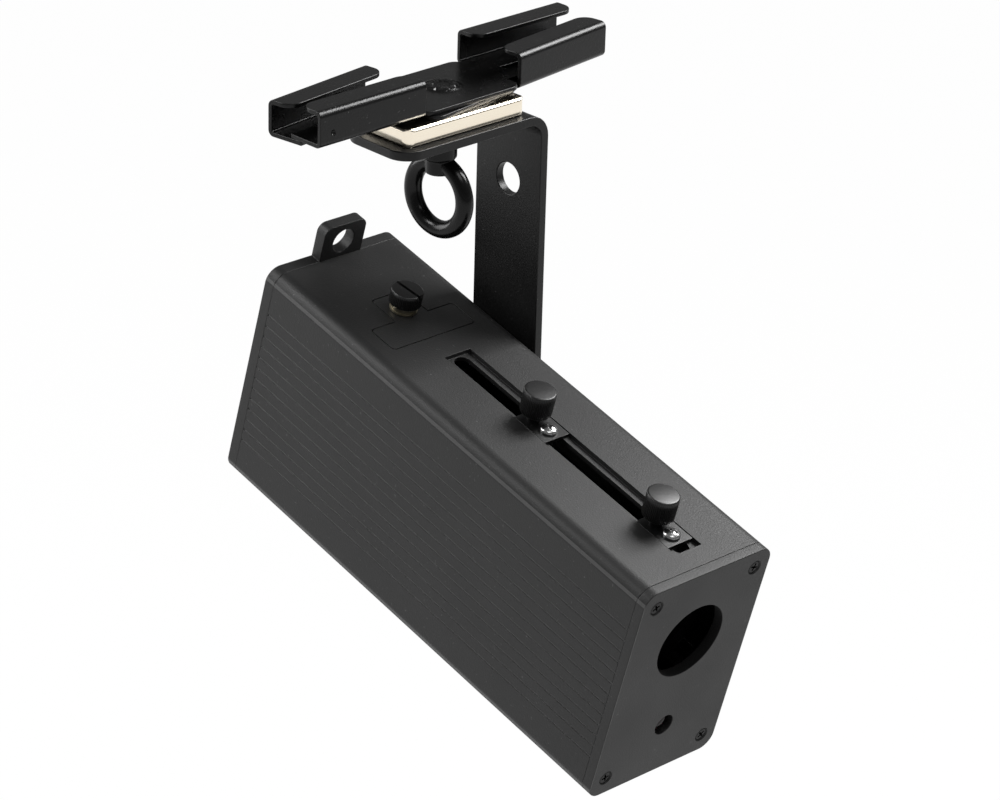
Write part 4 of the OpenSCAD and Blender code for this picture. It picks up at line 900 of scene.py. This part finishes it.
def makeFloor():
    bm = bmesh.new()
    lowered = Matrix.Translation((0, 0, cadBox[0].z - studio["floorDrop"]))
    bmesh.ops.create_grid(bm, x_segments=1, y_segments=1, size=studio["floorSize"] / 2, matrix=lowered)
    mesh = bpy.data.meshes.new("studioFloor")
    bm.to_mesh(mesh)
    bm.free()
    floor = bpy.data.objects.new("studioFloor", mesh)
    bpy.context.scene.collection.objects.link(floor)
    material = bpy.data.materials.new("Studio paper")
    material.use_nodes = True
    tree = material.node_tree
    surface = tree.nodes["Principled BSDF"]
    surface.inputs["Base Color"].default_value = studio["floorColour"]
    surface.inputs["Roughness"].default_value = studio["floorRough"]
    surface.inputs["Specular IOR Level"].default_value = 0.0
    away = vectorNode(tree, "LENGTH", addNode(tree, "ShaderNodeTexCoord").outputs["Object"]).outputs["Value"]
    fade = fadeNode(tree, away, studio["floorFadeFrom"], studio["floorFadeTo"])
    factor = mathNode(tree, "MULTIPLY", backgroundFactor(tree, fade), studio["floorSeen"])
    white = addNode(tree, "ShaderNodeEmission")
    showMix(tree, factor, surface.outputs["BSDF"], white.outputs["Emission"], "Material Output")
    mesh.materials.append(material)


def makeWorld():
    world = bpy.data.worlds.new("Studio")
    bpy.context.scene.world = world
    world.use_nodes = True
    tree = world.node_tree
    light = tree.nodes["Background"]
    light.inputs["Color"].default_value = (1, 1, 1, 1)
    light.inputs["Strength"].default_value = studio["worldLight"]
    height = addNode(tree, "ShaderNodeSeparateXYZ")
    feed(tree, height.inputs["Vector"], addNode(tree, "ShaderNodeTexCoord").outputs["Generated"])
    sky = fadeNode(tree, height.outputs["Z"], studio["skyFrom"], studio["skyTo"])
    white = addNode(tree, "ShaderNodeBackground")
    showMix(tree, backgroundFactor(tree, sky), light.outputs["Background"], white.outputs["Background"],
            "World Output")


photoCamera = {
    "place": (-0.73404, -0.80314, 0.39899),
    "heading": 43.47,            # from +Y towards +X
    "drop": 24.39,               # below the horizon
    "roll": 1.62,
    "lens": 137.76,
    "sensor": 36.0,
    "shift": (-0.0003, -0.0103),
}


def makeCamera():
    data = bpy.data.cameras.new("photoCamera")
    data.lens = photoCamera["lens"]
    data.sensor_width = photoCamera["sensor"]
    data.shift_x, data.shift_y = photoCamera["shift"]
    camera = bpy.data.objects.new("photoCamera", data)
    turn = (Matrix.Rotation(math.radians(-photoCamera["heading"]), 4, "Z")
            @ Matrix.Rotation(math.radians(90 - photoCamera["drop"]), 4, "X")
            @ Matrix.Rotation(math.radians(photoCamera["roll"]), 4, "Z"))
    camera.matrix_world = Matrix.Translation(photoCamera["place"]) @ turn
    bpy.context.scene.collection.objects.link(camera)
    bpy.context.scene.camera = camera


lamps = {
    "keyLamp": {"place": (0.34, -0.13, 0.29), "aim": (0.0, -0.12, -0.1), "size": (0.24, 0.3), "power": 4.6},
    "frontLamp": {"place": (-0.14, -0.68, 0.92), "aim": (0.0, 0.0, -0.03), "size": (0.6, 0.4), "power": 3.0},
    "rearLamp": {"place": (-0.4, 0.66, 0.12), "aim": (0.0, 0.0, -0.04), "size": (0.42, 0.44), "power": 3.4},
    "leftLamp": {"place": (-0.36, 0.26, 0.37), "aim": (-0.03, 0.03, -0.07), "size": (0.2, 0.2), "power": 1.8},
}


def addLamp(name, values):
    data = bpy.data.lights.new(name, "AREA")
    data.shape = "RECTANGLE"
    data.size, data.size_y = values["size"]
    data.energy = values["power"]
    lamp = bpy.data.objects.new(name, data)
    gaze = Vector(values["aim"]) - Vector(values["place"])
    lamp.matrix_world = Matrix.Translation(values["place"]) @ gaze.to_track_quat("-Z", "Y").to_matrix().to_4x4()
    lamp.visible_camera = False
    bpy.context.scene.collection.objects.link(lamp)


makeFloor()
makeWorld()
makeCamera()
for lampName, lampValues in lamps.items():
    addLamp(lampName, lampValues)
bpy.context.scene.view_settings.view_transform = "Standard"
print("stage set")
